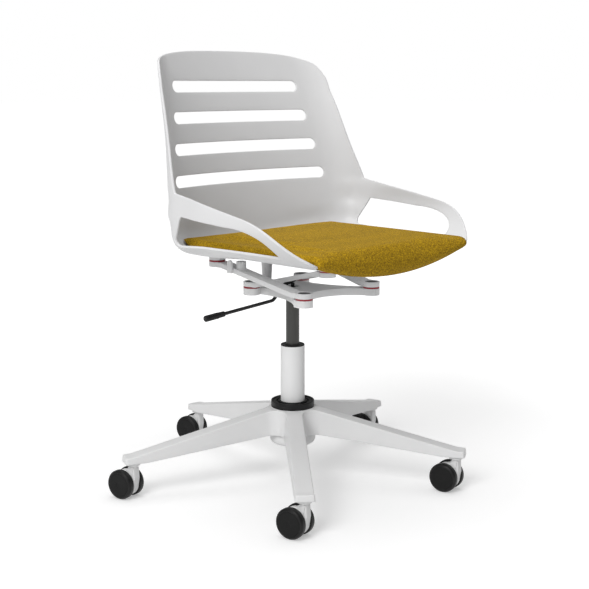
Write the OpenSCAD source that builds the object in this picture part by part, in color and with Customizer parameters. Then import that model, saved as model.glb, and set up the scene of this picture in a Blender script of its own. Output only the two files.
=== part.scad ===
// Swivel task chair: five-arm base on casters, gas column, four-link swing
// mechanism, one-piece slotted shell with armrest loops, thin seat cushion.
// The column's axis is the Z axis, the floor is z = 0, the sitter faces -Y
// and the sitter's left is +X.

/* [Casters] */
// Radius of a caster wheel
wheel_r = 30; // [24:1:34]
// Width of one wheel of a twin caster
wheel_w = 14.4; // [10:0.2:18]
// Clear width between the two wheels of a caster
wheel_gap = 18.4; // [14:0.2:24]
// Distance from the swivel stem back to the axle
caster_trail = 20; // [14:1:24]
// Diameter of the caster stem
stem_d = 11; // [8:0.5:12]
// Length of the stem inside the arm
stem_len = 10.5; // [6:0.5:11]
// Diameter of the stem collar
collar_d = 27; // [20:1:34]
// Diameter of the axle
axle_d = 6; // [4:0.5:8]
// Direction in which all the casters trail, in degrees from the star's first arm
caster_turn = 90; // [0:1:359]

/* [Base] */
// Radius of the circle of caster stems
star_r = 343.5; // [290:0.5:380]
// Turn of the star about the column, in degrees from the sitter's left
star_turn = 12.7; // [0:0.1:71.9]
// Height of the arms' underside at the tips above the wheels
tip_clear = 16; // [14:0.5:24]
// Height of an arm at its tip
arm_tip_h = 14; // [13:0.5:24]
// Width of an arm's underside at the tip
arm_tip_w = 38; // [30:1:46]
// Width of an arm's underside at the hub
arm_root_w = 43; // [36:1:50]
// Top of the hub and of the arms' roots
hub_top_z = 158; // [140:1:170]
// Depth of an arm where it meets the hub
arm_root_h = 52; // [30:1:60]
// Radius of the hub at its top
hub_r = 46; // [42:1:56]
// Height of the hub
hub_h = 78; // [64:1:84]
// Height of the black cover ring on the hub
cover_ring_h = 13.5; // [8:0.5:20]

/* [Column] */
// Diameter of the outer tube
tube_d = 50; // [46:1:56]
// Wall of the outer tube
tube_wall = 2; // [1.5:0.1:3]
// Top of the outer tube
tube_top_z = 288; // [270:1:294]
// Diameter of the inner tube that carries the seat
inner_d = 28; // [24:1:32]
// Wall of the inner tube
inner_wall = 2; // [1.5:0.1:3]
// Diameter of the piston rod
rod_d = 10; // [8:0.5:12]
// Travel of the seat below the photographed height
travel_down = 88; // [60:1:90]
// Travel of the seat above the photographed height
travel_up = 25; // [10:1:30]
// Diameter of the valve pin on top of the inner tube
valve_d = 8; // [6:0.5:9]
// Radial clearance of running and seated fits
fit_gap = 0.05; // [0.02:0.01:0.09]

/* [Mechanism] */
// Height of the middle of the lower pivot rings
low_ring_z = 413.5; // [408:0.5:418]
// Height of the middle of the upper pivot rings
high_ring_z = 467.5; // [458:0.5:468]
// Thickness of a pivot ring
pivot_ring_h = 3.5; // [1.5:0.5:4]
// Half the distance between the bracket's front pivots
front_low_x = 97.5; // [92:0.5:105]
// Distance of the bracket's front pivots ahead of the column
front_low_y = 129.5; // [122:0.5:136]
// Half the distance between the bracket's rear pivots
rear_low_x = 72.5; // [68:0.5:76]
// Distance of the bracket's rear pivots behind the column
rear_low_y = 46; // [40:0.5:50]
// Half the distance between the shell's front pivots
front_high_x = 62.5; // [58:0.5:66]
// Distance of the shell's front pivots ahead of the column
front_high_y = 157.5; // [150:0.5:164]
// Half the distance between the shell's rear pivots
rear_high_x = 118.5; // [114:0.5:122]
// Distance of the shell's rear pivots behind the column
rear_high_y = 98.5; // [94:0.5:102]
// Radius of the round ends of the links and of the bracket
pivot_r = 17; // [16:0.5:19]
// Thickness of a link
link_h = 10; // [8:0.5:12]
// Width of a link between its ends
link_w = 29; // [20:1:30]
// Thickness of the bracket plate
plate_h = 14; // [12:1:18]
// Diameter of the pivot pins
pin_d = 12; // [8:0.5:13]
// Diameter of the pins' caps
cap_d = 26; // [20:1:27]
// Largest swing of a link to each side, in degrees
swing = 4; // [2:0.5:4]
// Play of the three pivots that close the linkage
loop_gap = 1.3; // [1.2:0.1:1.5]
// Diameter of the stop post under the shell at its lower end
post_d = 18; // [14:1:22]
// Distance of the stop post behind the column
post_y = 76.5; // [72:0.5:82]

/* [Lever] */
// Diameter of the lever rod
lever_d = 7; // [5:0.5:8]
// Diameter of the lever's grip
grip_d = 12.5; // [10:0.5:16]
// Length of the lever's grip
grip_len = 49; // [35:1:60]
// Distance of the grip's outer end from the column's axis
lever_reach = 238; // [200:1:260]
// Distance of the lever's hinge pin from the column's axis
lever_pivot_x = 45; // [42:1:47]

/* [Shell] */
// Wall of the one-piece shell
shell_t = 5; // [4:0.5:6]
// Height of the middle of the wall under the seat's centre
pan_z = 470; // [469:0.5:474]
// Distance of the pan's front edge ahead of the column
pan_front = 272; // [260:1:280]
// Radius of the dish across the seat and the back
dish_r = 694; // [600:1:900]
// Radius of the dish across the seat's rear end
rear_dish_r = 934; // [700:1:1100]
// Radius of the rounded side of the seat's rear end
rear_corner_r = 69.8; // [60:0.5:110]
// Radius of the bend between the seat and the back
bend_r = 55.2; // [30:0.5:60]
// Distance of the back behind the column at the lowest slot
back_y = 147.7; // [143:0.1:152]
// Radius of the back's curve seen from the side
back_arc_r = 1859; // [1500:1:2600]
// Top of the back at its centre
back_top_z = 889; // [870:1:910]
// Half width of the shell at the armrests
seat_half_w = 283.4; // [272:0.1:288]
// Half width of the shell just above the armrests
back_half_w = 271.4; // [262:0.1:276]
// Radius of the rounded side of the seat pan
seat_corner_r = 113; // [105:1:120]
// Radius of the rounded side of the back
back_corner_r = 88.5; // [80:0.5:94]
// Height of the back's upper corners
back_side_z = 851.7; // [840:0.1:858]
// Depth of the back's upper corners in front of its centre
back_side_depth = 53.2; // [48:0.1:60]

/* [Slots and armrests] */
// Height of the lowest slot's middle
slot_z = 629.6; // [622:0.1:634]
// Distance from one slot to the next
slot_pitch = 62.1; // [55:0.1:64]
// Height of a slot
slot_h = 23; // [18:0.5:28]
// Half length of the lowest slot
slot_half_w = 211.5; // [190:0.5:214]
// Loss of half length from one slot to the next above it
slot_step = 12.2; // [10:0.1:16]
// Height of the armrest's front tip
tip_z = 510; // [506:1:514]
// Distance of the armrest's knee ahead of the column
knee_y = 142.8; // [130:0.1:150]
// Height of the armrest's knee
knee_z = 584.4; // [578:0.1:592]
// Height of the armrest's edge where it meets the back
joint_z = 616.7; // [610:0.1:622]
// Distance behind the column at which the armrest meets the back
joint_y = 45.7; // [42:0.1:50]
// Height of the armrest window's lower edge
window_low_z = 515.5; // [514:0.5:520]
// Height of the armrest window's rear upper corner
window_top_z = 573.5; // [562:0.5:576]
// Distance of the window's front end ahead of the column
window_front_y = 208; // [196:1:212]

/* [Cushion] */
// Height of the seat's top at the rear
cushion_rear_z = 523; // [518:1:526]
// Height of the seat's top at the front
cushion_front_z = 522; // [516:1:526]
// Crown of the cushion above its edges
cushion_crown = 3; // [2:0.5:8]
// Half width of the cushion
cushion_half_w = 212; // [205:1:214]
// Reach of the cushion's nose ahead of the pan's front edge
cushion_nose = 12; // [9:0.5:16]
// Thickness of the stiffening board under the foam
board_t = 3; // [2:0.5:4]
// Gap between the cushion and its neighbours
soft_gap = 0.4; // [0.3:0.1:0.8]

/* [Hidden] */
arm_count = 5;
$fn = 64;

white = "whitesmoke";
black = "#262626";
dark = "#4a4a48";
steel = "silver";
red = "#7d1f2b";
fabric = "#a9811d";

// Overrun of every cut
over = 1;
// Gap between flat faces that slide on each other
slide_gap = 0.1;

// Casters: heights, edges and small parts
arm_low_z = 2 * wheel_r + tip_clear;
collar_top_z = arm_low_z - slide_gap;
collar_h = 3.5;
neck_d = 20;
fork_play = 0.4;
fork_inset = 3;
fork_w = wheel_gap - 2 * fork_play;
fork_r = wheel_r - fork_inset;
fork_foot = 8;
tread_edge = 3;
wheel_cap = 2;
stem_seat = 12;

// Base: edges of the arms and of the hub
arm_draft = 3.5;
arm_edge = 2;
tip_pad = 24;
hub_flare = 2;
hub_edge = 5;
cover_inset = 1;
cover_edge = 2;
cover_groove = 1.5;
tip_steps = 6;
socket_gap = 0.5;

// Column: what lies inside the tubes
tube_floor = 4;
tube_rise = 4;
top_collar_h = 2.5;
bush_len = 80;
gland_len = 14;
piston_h = 10;
end_gap = 1;
bearing_h = 6;
bearing_r = 15;
buffer_h = 7;
buffer_r = 13;
buffer_gap = 2.9;
clip_h = 2.5;
clip_r = 9;
inner_drop = 3;
inner_cap = 6;
taper_len = 21;
taper = 0.8;
valve_rise = 10;
valve_foot_h = 3;
valve_flange = 1.7;
tube_low_z = hub_top_z - hub_h + tube_rise;
buffer_z = tube_low_z + tube_floor + bearing_h + slide_gap;
inner_low_z = buffer_z + buffer_h + buffer_gap + travel_down;

// Mechanism: heights that follow from the rings
plate_top_z = low_ring_z - pivot_ring_h / 2;
plate_low_z = plate_top_z - plate_h;
link_low_z = low_ring_z + pivot_ring_h / 2 + slide_gap;
link_high_z = high_ring_z - pivot_ring_h / 2 - slide_gap - link_h;
boss_low_z = high_ring_z + pivot_ring_h / 2;
inner_top_z = plate_top_z - inner_drop;
valve_top_z = inner_top_z + valve_rise;
ring_inset = 0.3;
cap_h = 2;
cap_drop = 1;
bush_wall = 3;
pin_seat = 10;
front_pin_seat = 4;
link_bend_gap = 5;
link_flat = pivot_r + link_bend_gap;
plate_boss_r = 24;
plate_boss_h = 10;
waist_x = 59;
waist_y = 8;
waist_r = 170;
front_cut_y = 80;
front_cut_r = 95;
lobe_wall = 10;
link_boss_r = 10;
link_boss_share = 0.712;
link_boss_rise = 4;
link_boss_top_z = high_ring_z + link_boss_rise;
fin_w = 11;
fin_t = 5;
fin_share = 0.775;
fin_side = 4;
fin_drop = 19;
fin_rise = 7;
fin_low_z = high_ring_z - fin_drop;
fin_top_z = high_ring_z + fin_rise;
post_flare = 6;
post_foot_rise = 6;
post_top_d = post_d + post_flare;
post_foot_z = plate_low_z + post_foot_rise;
post_top_z = pan_z + bend_r / 4;
sleeve_wall = 2.5;
sleeve_h = 9;
stop_play = 0.5;
slot_play = 1;

front_right_low = [-front_low_x, -front_low_y];
front_right_high = [-rear_high_x, rear_high_y];
rear_right_low = [-rear_low_x, rear_low_y];
rear_right_high = [-front_high_x, -front_high_y];
post_travel = norm(front_right_high - front_right_low) * sin(swing);

// Lever: bends of the rod, in the plane y = 0
lever_pivot_drop = 6;
lever_pivot_z = plate_top_z - lever_pivot_drop;
lever_pin_d = 4;
lever_pin_len = 24;
lever_hub_r = 5;
lever_hub_w = 10;
lever_slot_w = 12;
lever_slot_out = 14;
lever_slot_in = 27.5;
lever_drop_share = 0.071;
// Bends from the inner end outwards: distance inside the hinge pin and height
// above the bracket
lever_bends = [[51, 14], [25, 8], [4, -4], [-4, -17], [-12, -23]];
lever_path = [for (p = lever_bends) [p[0] - lever_pivot_x, p[1] + plate_top_z]];
lever_bend = lever_path[len(lever_path) - 1];
bend_swell = 0.4;
grip_edge = 2;
grip_bore_share = 0.6;
grip_sleeve = 6;

// Shell: the surface in the middle of the wall
back_ref_z = 630;
back_lean_share = 0.1623;
back_taper_share = 0.145;
width_blend_z = 560;
width_blend_h = 50;
corner_blend_y = -130.5;
corner_blend_l = 176;
width_blend_y = 65.9;
width_blend_l = 78.8;
low_blend_y = -5.2;
low_blend_l = 66.5;
low_blend_z = 507;
low_blend_h = 53.6;
taper_z = 620;
side_bow = 2.3;
top_power = 2.7;
arm_curve_shares = [[0.392, 0.547], [0.464, 0.840]];
knee_row_share = 0.6;
bend_row_share = 0.77;
side_start_share = 0.12;
shell_rows = 42;
shell_columns = 40;
row_step = 0.01;
slot_count = 4;
window_curve_l = 108;
window_curve_h = 49.3;
window_power = 2.2;
window_rear_y = 17;
window_heel_y = 43;
window_rear_r = 6;
window_heel_r = 10;
boss_reach = 80;
bend_cz = pan_z + bend_r;

// Cushion: edges, and the board and screws under it
cushion_edge = 10;
cushion_columns = 14;
cushion_top_steps = 9;
cushion_board_steps = 5;
nose_steps = 4;
nose_depth = 16;
nose_share = 0.35;
lip_drop = 1.7;
lip_end = 115;
least_foam = 4;
hem_gap = 1.3;
board_half_w = 190;
board_front = 262;
board_rear = -8;
board_columns = 16;
screw_x = 40;
screw_front_y = 215;
screw_rear_y = 20;
screw_d = 4;
screw_head_d = 8;
screw_head_h = 2.5;
screw_cover = 1;
screw_bite_share = 0.6;
nose_least = 1;
least_draw_share = 0.2;

// General helpers
function lerp(a, b, s) = a + (b - a) * s;
function smooth(s) = let (c = min(1, max(0, s))) c * c * (3 - 2 * c);
function dot2(a, b) = a[0] * b[0] + a[1] * b[1];

// Points of a corner at b, between a and c, rounded with radius r
function round_corner(a, b, c, r, steps) =
    let (
        u = (a - b) / norm(a - b),
        v = (c - b) / norm(c - b),
        half = acos(dot2(u, v)) / 2,
        m = b + (u + v) / norm(u + v) * r / sin(half),
        p = b + u * r / tan(half) - m,
        q = b + v * r / tan(half) - m,
        turn = 180 - 2 * half)
    [for (k = [0 : steps])
        m + (p * sin(turn * (1 - k / steps)) + q * sin(turn * k / steps)) / sin(turn)];

// Solid through a list of closed rings with equally many points; point j of a
// ring lies opposite its point n - 1 - j, which is how the two ends are closed
module loft(rings) {
    m = len(rings);
    n = len(rings[0]);
    last = (m - 1) * n;
    polyhedron(
        points = [for (ring = rings) each ring],
        faces = concat(
            [for (i = [0 : m - 2], j = [0 : n - 1])
                let (a = i * n + j, b = i * n + (j + 1) % n)
                    each [[a, b, b + n], [a, b + n, a + n]]],
            [for (j = [0 : n / 2 - 2])
                each [[j + 1, j, n - 1 - j], [j + 1, n - 1 - j, n - 2 - j]]],
            [for (j = [0 : n / 2 - 2])
                each [[last + j, last + j + 1, last + n - 1 - j],
                    [last + j + 1, last + n - 2 - j, last + n - 1 - j]]]));
}

// Cylinder of radius r from point a to point b
module rod(a, b, r) {
    d = b - a;
    translate(a)
        rotate([0, acos(d[2] / norm(d)), atan2(d[1], d[0])])
            cylinder(r = r, h = norm(d));
}

module at_star(k) {
    rotate([0, 0, star_turn + (k - 1) * 360 / arm_count])
        children();
}

module at_caster(k) {
    at_star(k)
        translate([star_r, 0, 0])
            rotate([0, 0, caster_turn - (k - 1) * 360 / arm_count - 90])
                children();
}

// Casters, in their own frame: stem on the Z axis, axle behind it along X
module caster_fork() {
    color(white)
    difference() {
        union() {
            translate([-fork_w / 2, caster_trail, wheel_r])
                rotate([0, 90, 0])
                    cylinder(r = fork_r, h = fork_w);
            translate([0, 0, wheel_r])
                cylinder(d = fork_w, h = collar_top_z - collar_h - wheel_r);
            translate([0, 0, 2 * wheel_r + fork_play])
                cylinder(d = neck_d, h = collar_top_z - collar_h - 2 * wheel_r - fork_play);
            translate([0, 0, collar_top_z - collar_h])
                cylinder(d = collar_d, h = collar_h);
        }
        translate([-fork_w, caster_trail - 2 * wheel_r, -over])
            cube([2 * fork_w, 4 * wheel_r, fork_foot + over]);
        translate([-fork_w, caster_trail, wheel_r])
            rotate([0, 90, 0])
                cylinder(r = axle_d / 2 + fit_gap, h = 2 * fork_w);
        translate([0, 0, collar_top_z - stem_seat])
            cylinder(r = stem_d / 2 + fit_gap, h = stem_seat + over);
    }
}

module caster_pins() {
    color(steel) {
        translate([0, 0, collar_top_z - stem_seat + slide_gap])
            cylinder(d = stem_d, h = stem_seat + stem_len);
        translate([-wheel_gap / 2 - wheel_w + wheel_cap + slide_gap, caster_trail, wheel_r])
            rotate([0, 90, 0])
                cylinder(d = axle_d, h = wheel_gap + 2 * (wheel_w - wheel_cap - slide_gap));
    }
}

module caster_wheel(side) {
    color(black)
    mirror([side < 0 ? 1 : 0, 0, 0])
        translate([wheel_gap / 2, caster_trail, wheel_r])
            rotate([0, 90, 0])
                difference() {
                    rotate_extrude()
                        polygon([[0, 0], [wheel_r - tread_edge / 2, 0], [wheel_r, tread_edge / 2],
                            [wheel_r, wheel_w - tread_edge],
                            [wheel_r - tread_edge / 3, wheel_w - tread_edge / 3],
                            [wheel_r - tread_edge, wheel_w], [0, wheel_w]]);
                    translate([0, 0, -over])
                        cylinder(r = axle_d / 2 + fit_gap, h = wheel_w - wheel_cap + over);
                }
}

// Base
function arm_top(r) =
    min(hub_top_z, lerp(hub_top_z, arm_low_z + arm_tip_h, (r - hub_r) / (star_r - hub_r)));
function arm_low(r) =
    max(arm_low_z, lerp(hub_top_z - arm_root_h, arm_low_z, (r - hub_r) / (star_r - tip_pad - hub_r)));
function arm_half(r) = lerp(arm_root_w / 2, arm_tip_w / 2, (r - hub_r) / (star_r - hub_r));

// Half section of an arm: its lower, side and top points at a station; turn is
// the angle round the tip and 0 along the straight arm
function arm_ring(r, turn) =
    let (
        w = arm_half(r),
        widths = [w, w - arm_draft, w - arm_draft - arm_edge],
        half = [for (k = [0 : 2])
            let (x = r + widths[k] * sin(turn), y = widths[k] * cos(turn))
                [x, -y, k == 0 ? arm_low(x) : k == 1 ? arm_top(x) - arm_edge : arm_top(x)]])
    concat(half, [for (k = [2 : -1 : 0]) [half[k][0], -half[k][1], half[k][2]]]);

module base_arm() {
    straight = [for (r = [hub_r - hub_edge, star_r - tip_pad, star_r]) arm_ring(r, 0)];
    tip = [for (k = [1 : tip_steps]) arm_ring(star_r, 84 * k / tip_steps)];
    loft(concat(straight, tip));
}

module base_star() {
    color(white)
    difference() {
        union() {
            translate([0, 0, hub_top_z - hub_h])
                rotate_extrude()
                    polygon([[0, 0], [hub_r - hub_edge + hub_flare, 0],
                        [hub_r - hub_edge / 5 + hub_flare, hub_edge / 3],
                        [hub_r + hub_flare, hub_edge], [hub_r, hub_h], [0, hub_h]]);
            for (k = [1 : arm_count])
                at_star(k)
                    base_arm();
        }
        translate([0, 0, hub_top_z - hub_h - over])
            cylinder(r = tube_d / 2 + fit_gap, h = hub_h + 2 * over);
        for (k = [1 : arm_count])
            at_star(k)
                translate([star_r, 0, arm_low_z - over])
                    cylinder(r = stem_d / 2 + fit_gap, h = stem_len + socket_gap + over);
    }
}

module hub_cover_ring() {
    groove_r = (hub_r + tube_d / 2) / 2;
    color(black)
    difference() {
        translate([0, 0, hub_top_z])
            rotate_extrude()
                polygon([[tube_d / 2 + fit_gap, 0], [hub_r - cover_inset, 0],
                    [hub_r - cover_inset, cover_ring_h - cover_edge],
                    [hub_r - cover_inset - cover_edge, cover_ring_h], [tube_d / 2 + fit_gap, cover_ring_h]]);
        translate([0, 0, hub_top_z + cover_ring_h - cover_groove])
            difference() {
                cylinder(r = groove_r + cover_groove, h = cover_groove + over);
                translate([0, 0, -over])
                    cylinder(r = groove_r, h = cover_groove + 3 * over);
            }
    }
}

// Column
tube_bore_r = tube_d / 2 - tube_wall;
rod_bore_r = rod_d / 2 + fit_gap;

module column_tube() {
    color(white)
    difference() {
        translate([0, 0, tube_low_z])
            cylinder(d = tube_d, h = tube_top_z - tube_low_z);
        translate([0, 0, tube_low_z + tube_floor])
            cylinder(r = tube_bore_r, h = tube_top_z - tube_low_z);
        translate([0, 0, tube_low_z - over])
            cylinder(r = rod_bore_r, h = tube_floor + 2 * over);
    }
}

module column_guide_bush() {
    color(black)
    difference() {
        translate([0, 0, tube_top_z - bush_len])
            cylinder(r = tube_bore_r - fit_gap, h = bush_len);
        translate([0, 0, tube_top_z - bush_len - over])
            cylinder(r = inner_d / 2 + fit_gap, h = bush_len + 2 * over);
    }
}

module column_top_collar() {
    color(black)
    difference() {
        translate([0, 0, tube_top_z])
            cylinder(r = tube_d / 2 - ring_inset, h = top_collar_h);
        translate([0, 0, tube_top_z - over])
            cylinder(r = inner_d / 2 + fit_gap, h = top_collar_h + 2 * over);
    }
}

module ring_on_rod(z, r, h) {
    difference() {
        translate([0, 0, z])
            cylinder(r = r, h = h);
        translate([0, 0, z - over])
            cylinder(r = rod_bore_r, h = h + 2 * over);
    }
}

module thrust_bearing() {
    color(steel)
        ring_on_rod(tube_low_z + tube_floor, bearing_r, bearing_h);
}

module buffer_ring() {
    color(black)
        ring_on_rod(buffer_z, buffer_r, buffer_h);
}

module retaining_clip() {
    color(steel)
        ring_on_rod(tube_low_z - slide_gap - clip_h, clip_r, clip_h);
}

module piston_rod() {
    low_z = tube_low_z - slide_gap - clip_h;
    piston_z = inner_low_z + gland_len + travel_up + end_gap;
    color(steel) {
        translate([0, 0, low_z])
            cylinder(d = rod_d, h = piston_z - low_z);
        translate([0, 0, piston_z])
            cylinder(r = inner_d / 2 - inner_wall - fit_gap, h = piston_h);
    }
}

module inner_tube() {
    color(dark)
    difference() {
        union() {
            translate([0, 0, inner_low_z])
                cylinder(d = inner_d, h = inner_top_z - taper_len - inner_low_z);
            translate([0, 0, inner_top_z - taper_len])
                cylinder(r1 = inner_d / 2, r2 = inner_d / 2 - taper, h = taper_len);
        }
        translate([0, 0, inner_low_z - over])
            cylinder(r = inner_d / 2 - inner_wall, h = inner_top_z - inner_cap - inner_low_z + over);
        translate([0, 0, inner_low_z])
            cylinder(r = valve_d / 2 + fit_gap, h = inner_top_z);
    }
}

module tube_gland() {
    color(steel)
        ring_on_rod(inner_low_z, inner_d / 2 - inner_wall - fit_gap, gland_len);
}

module valve_pin() {
    foot_z = inner_top_z - inner_cap - slide_gap - valve_foot_h;
    color(steel) {
        translate([0, 0, foot_z])
            cylinder(d = valve_d, h = valve_top_z - foot_z);
        translate([0, 0, foot_z])
            cylinder(r = valve_d / 2 + valve_flange, h = valve_foot_h);
    }
}

// Mechanism
module both_sides() {
    children();
    mirror([1, 0, 0])
        children();
}

module bracket_outline() {
    side = pivot_r;
    difference() {
        polygon([
            [-front_low_x - side, -front_low_y], [-front_low_x, -front_low_y - side],
            [front_low_x, -front_low_y - side], [front_low_x + side, -front_low_y],
            [rear_low_x + side, rear_low_y], [rear_low_x, rear_low_y + side],
            [-rear_low_x, rear_low_y + side], [-rear_low_x - side, rear_low_y]]);
        both_sides()
            translate([waist_x + waist_r, waist_y])
                circle(r = waist_r, $fn = 128);
        translate([0, -front_cut_y - front_cut_r])
            circle(r = front_cut_r, $fn = 128);
    }
}

module slot_prism(half, r, z, h) {
    both_sides()
        translate([half, 0, z])
            cylinder(r = r, h = h);
    translate([-half, -r, z])
        cube([2 * half, 2 * r, h]);
}

module bracket() {
    slot_r = post_d / 2 + sleeve_wall + slot_play;
    taper_low_z = inner_top_z - taper_len;
    color(white)
    difference() {
        union() {
            translate([0, 0, plate_low_z])
                linear_extrude(plate_h)
                    bracket_outline();
            both_sides()
                for (p = [front_right_low, rear_right_low])
                    translate([p[0], p[1], plate_low_z])
                        cylinder(r = pivot_r, h = plate_h);
            translate([0, 0, plate_low_z - plate_boss_h])
                cylinder(r = plate_boss_r, h = plate_boss_h + over);
            translate([0, post_y, 0])
                slot_prism(post_travel, slot_r + lobe_wall, plate_low_z, plate_h);
        }
        translate([0, 0, taper_low_z - plate_boss_h])
            cylinder(r = inner_d / 2 + fit_gap, h = plate_boss_h);
        translate([0, 0, taper_low_z])
            cylinder(r1 = inner_d / 2 + fit_gap, r2 = inner_d / 2 - taper + fit_gap, h = taper_len);
        translate([0, 0, inner_top_z - fit_gap])
            cylinder(r = inner_d / 2 - taper + fit_gap, h = inner_drop + over);
        both_sides()
            for (p = [front_right_low, rear_right_low])
                translate([p[0], p[1], plate_top_z - pin_seat])
                    cylinder(r = pin_d / 2 + fit_gap, h = pin_seat + over);
        translate([0, post_y, 0])
            slot_prism(post_travel + stop_play, slot_r, plate_low_z - over, plate_h + 2 * over);
        translate([-lever_pivot_x - lever_slot_out, -lever_slot_w / 2, plate_low_z - over])
            cube([lever_slot_out + lever_slot_in, lever_slot_w, plate_h + 2 * over]);
        translate([-lever_pivot_x, 0, lever_pivot_z])
            rotate([90, 0, 0])
                cylinder(r = lever_pin_d / 2 + fit_gap, h = lever_pin_len + slide_gap, center = true);
    }
}

module pivot_rings(places, z) {
    color(red)
    both_sides()
        for (p = places)
            translate([p[0], p[1], z - pivot_ring_h / 2])
                difference() {
                    cylinder(r = pivot_r - ring_inset, h = pivot_ring_h);
                    translate([0, 0, -over])
                        cylinder(r = pin_d / 2 + fit_gap, h = pivot_ring_h + 2 * over);
                }
}

module bracket_rings() {
    pivot_rings([front_right_low, rear_right_low], low_ring_z);
}

module shell_rings() {
    pivot_rings([front_right_high, rear_right_high], high_ring_z);
}

// Height of the bush, between a link's outer face and its cap
bush_h = link_h - cap_h - cap_drop;

module bracket_pins() {
    foot_z = plate_top_z - pin_seat + slide_gap;
    cap_z = link_low_z + bush_h + slide_gap;
    color(dark)
    both_sides()
        for (p = [front_right_low, rear_right_low])
            translate([p[0], p[1], 0]) {
                translate([0, 0, foot_z])
                    cylinder(d = pin_d, h = cap_z - foot_z);
                translate([0, 0, cap_z])
                    cylinder(d = cap_d, h = cap_h);
            }
}

module shell_pins() {
    cap_z = link_high_z + link_h - bush_h - slide_gap;
    color(dark)
    both_sides()
        for (p = [[front_right_high, pin_seat], [rear_right_high, front_pin_seat]])
            translate([p[0][0], p[0][1], 0]) {
                translate([0, 0, cap_z])
                    cylinder(d = pin_d, h = boss_low_z + p[1] - slide_gap - cap_z);
                translate([0, 0, cap_z - cap_h])
                    cylinder(d = cap_d, h = cap_h);
            }
}

// A link from its lower pivot to its upper pivot; play is the loose fit of the
// upper one
module link_at(low, high) {
    d = high - low;
    translate([low[0], low[1], 0])
        rotate([0, 0, atan2(d[1], d[0])])
            children();
}

module link_body(low, high, low_play, high_play) {
    l = norm(high - low);
    bush_r = pin_d / 2 + bush_wall + fit_gap;
    cap_r = cap_d / 2 + slide_gap;
    link_at(low, high)
    difference() {
        union() {
            rotate([90, 0, 0])
                translate([0, 0, -link_w / 2])
                    linear_extrude(link_w)
                        polygon([[0, link_low_z], [link_flat, link_low_z],
                            [l - link_flat, link_high_z], [l, link_high_z],
                            [l, link_high_z + link_h], [l - link_flat, link_high_z + link_h],
                            [link_flat, link_low_z + link_h], [0, link_low_z + link_h]]);
            translate([0, 0, link_low_z])
                cylinder(r = pivot_r, h = link_h);
            translate([l, 0, link_high_z])
                cylinder(r = pivot_r, h = link_h);
        }
        for (end = [[0, link_low_z, low_play], [l, link_high_z, high_play]])
            translate([end[0], 0, end[1] - over])
                cylinder(r = bush_r + end[2], h = link_h + 2 * over);
        translate([0, 0, link_low_z + bush_h])
            cylinder(r = cap_r + low_play, h = link_h);
        translate([l, 0, link_high_z - over])
            cylinder(r = cap_r + high_play, h = link_h - bush_h + over);
    }
}

module link_trim(low, high, side) {
    l = norm(high - low);
    boss_s = l * link_boss_share;
    fin_s = l * fin_share;
    mid_z = function(s) lerp(link_low_z, link_high_z, (s - link_flat) / (l - 2 * link_flat)) + link_h / 2;
    link_at(low, high) {
        translate([boss_s, 0, mid_z(boss_s)])
            cylinder(r = link_boss_r, h = link_boss_top_z - mid_z(boss_s));
        translate([fin_s, side * (link_w / 2 + fin_side), fin_low_z])
            rotate([90, 0, 0])
                translate([0, 0, -fin_t / 2])
                    union() {
                        translate([0, fin_top_z - fin_low_z - fin_w / 2, 0])
                            cylinder(d = fin_w, h = fin_t);
                        translate([-fin_w / 2, 0, 0])
                            cube([fin_w, fin_top_z - fin_low_z - fin_w / 2, fin_t]);
                    }
        translate([fin_s - fin_w / 2, side > 0 ? 0 : -link_w / 2 - fin_side, fin_low_z])
            cube([fin_w, link_w / 2 + fin_side, link_h / 2]);
    }
}

module front_link() {
    color(white) {
        link_body(front_right_low, front_right_high, 0, 0);
        link_trim(front_right_low, front_right_high, 1);
    }
}

module front_link_left() {
    color(white)
    mirror([1, 0, 0]) {
        link_body(front_right_low, front_right_high, 0, loop_gap);
        link_trim(front_right_low, front_right_high, 1);
    }
}

module rear_link() {
    color(white)
        link_body(rear_right_low, rear_right_high, 0, loop_gap);
}

module bushes(low, high, high_play) {
    color(black)
    for (end = [[low, link_low_z, 0], [high, link_high_z + link_h - bush_h, high_play]])
        translate([end[0][0], end[0][1], end[1]])
            difference() {
                cylinder(r = pin_d / 2 + bush_wall + end[2], h = bush_h);
                translate([0, 0, -over])
                    cylinder(r = pin_d / 2 + fit_gap + end[2], h = bush_h + 2 * over);
            }
}

// Lever
function in_plane(p) = [p[0], 0, p[1]];
grip_start = [-(lever_reach - grip_len),
    lever_bend[1] + lever_drop_share * (-(lever_reach - grip_len) - lever_bend[0])];
grip_end = [-lever_reach, lever_bend[1] + lever_drop_share * (-lever_reach - lever_bend[0])];

module lever_rod() {
    inside = lerp(grip_start, grip_end, grip_bore_share);
    color(black)
    difference() {
        union() {
            for (k = [0 : len(lever_path) - 2])
                rod(in_plane(lever_path[k]), in_plane(lever_path[k + 1]), lever_d / 2);
            for (p = lever_path)
                translate(in_plane(p))
                    sphere(d = lever_d + bend_swell);
            rod(in_plane(lever_bend), in_plane(inside), lever_d / 2);
            translate([-lever_pivot_x, -lever_hub_w / 2, lever_pivot_z])
                rotate([-90, 0, 0])
                    cylinder(r = lever_hub_r, h = lever_hub_w);
        }
        translate([-lever_pivot_x, -lever_hub_w, lever_pivot_z])
            rotate([-90, 0, 0])
                cylinder(r = lever_pin_d / 2 + fit_gap, h = 2 * lever_hub_w);
    }
}

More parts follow.
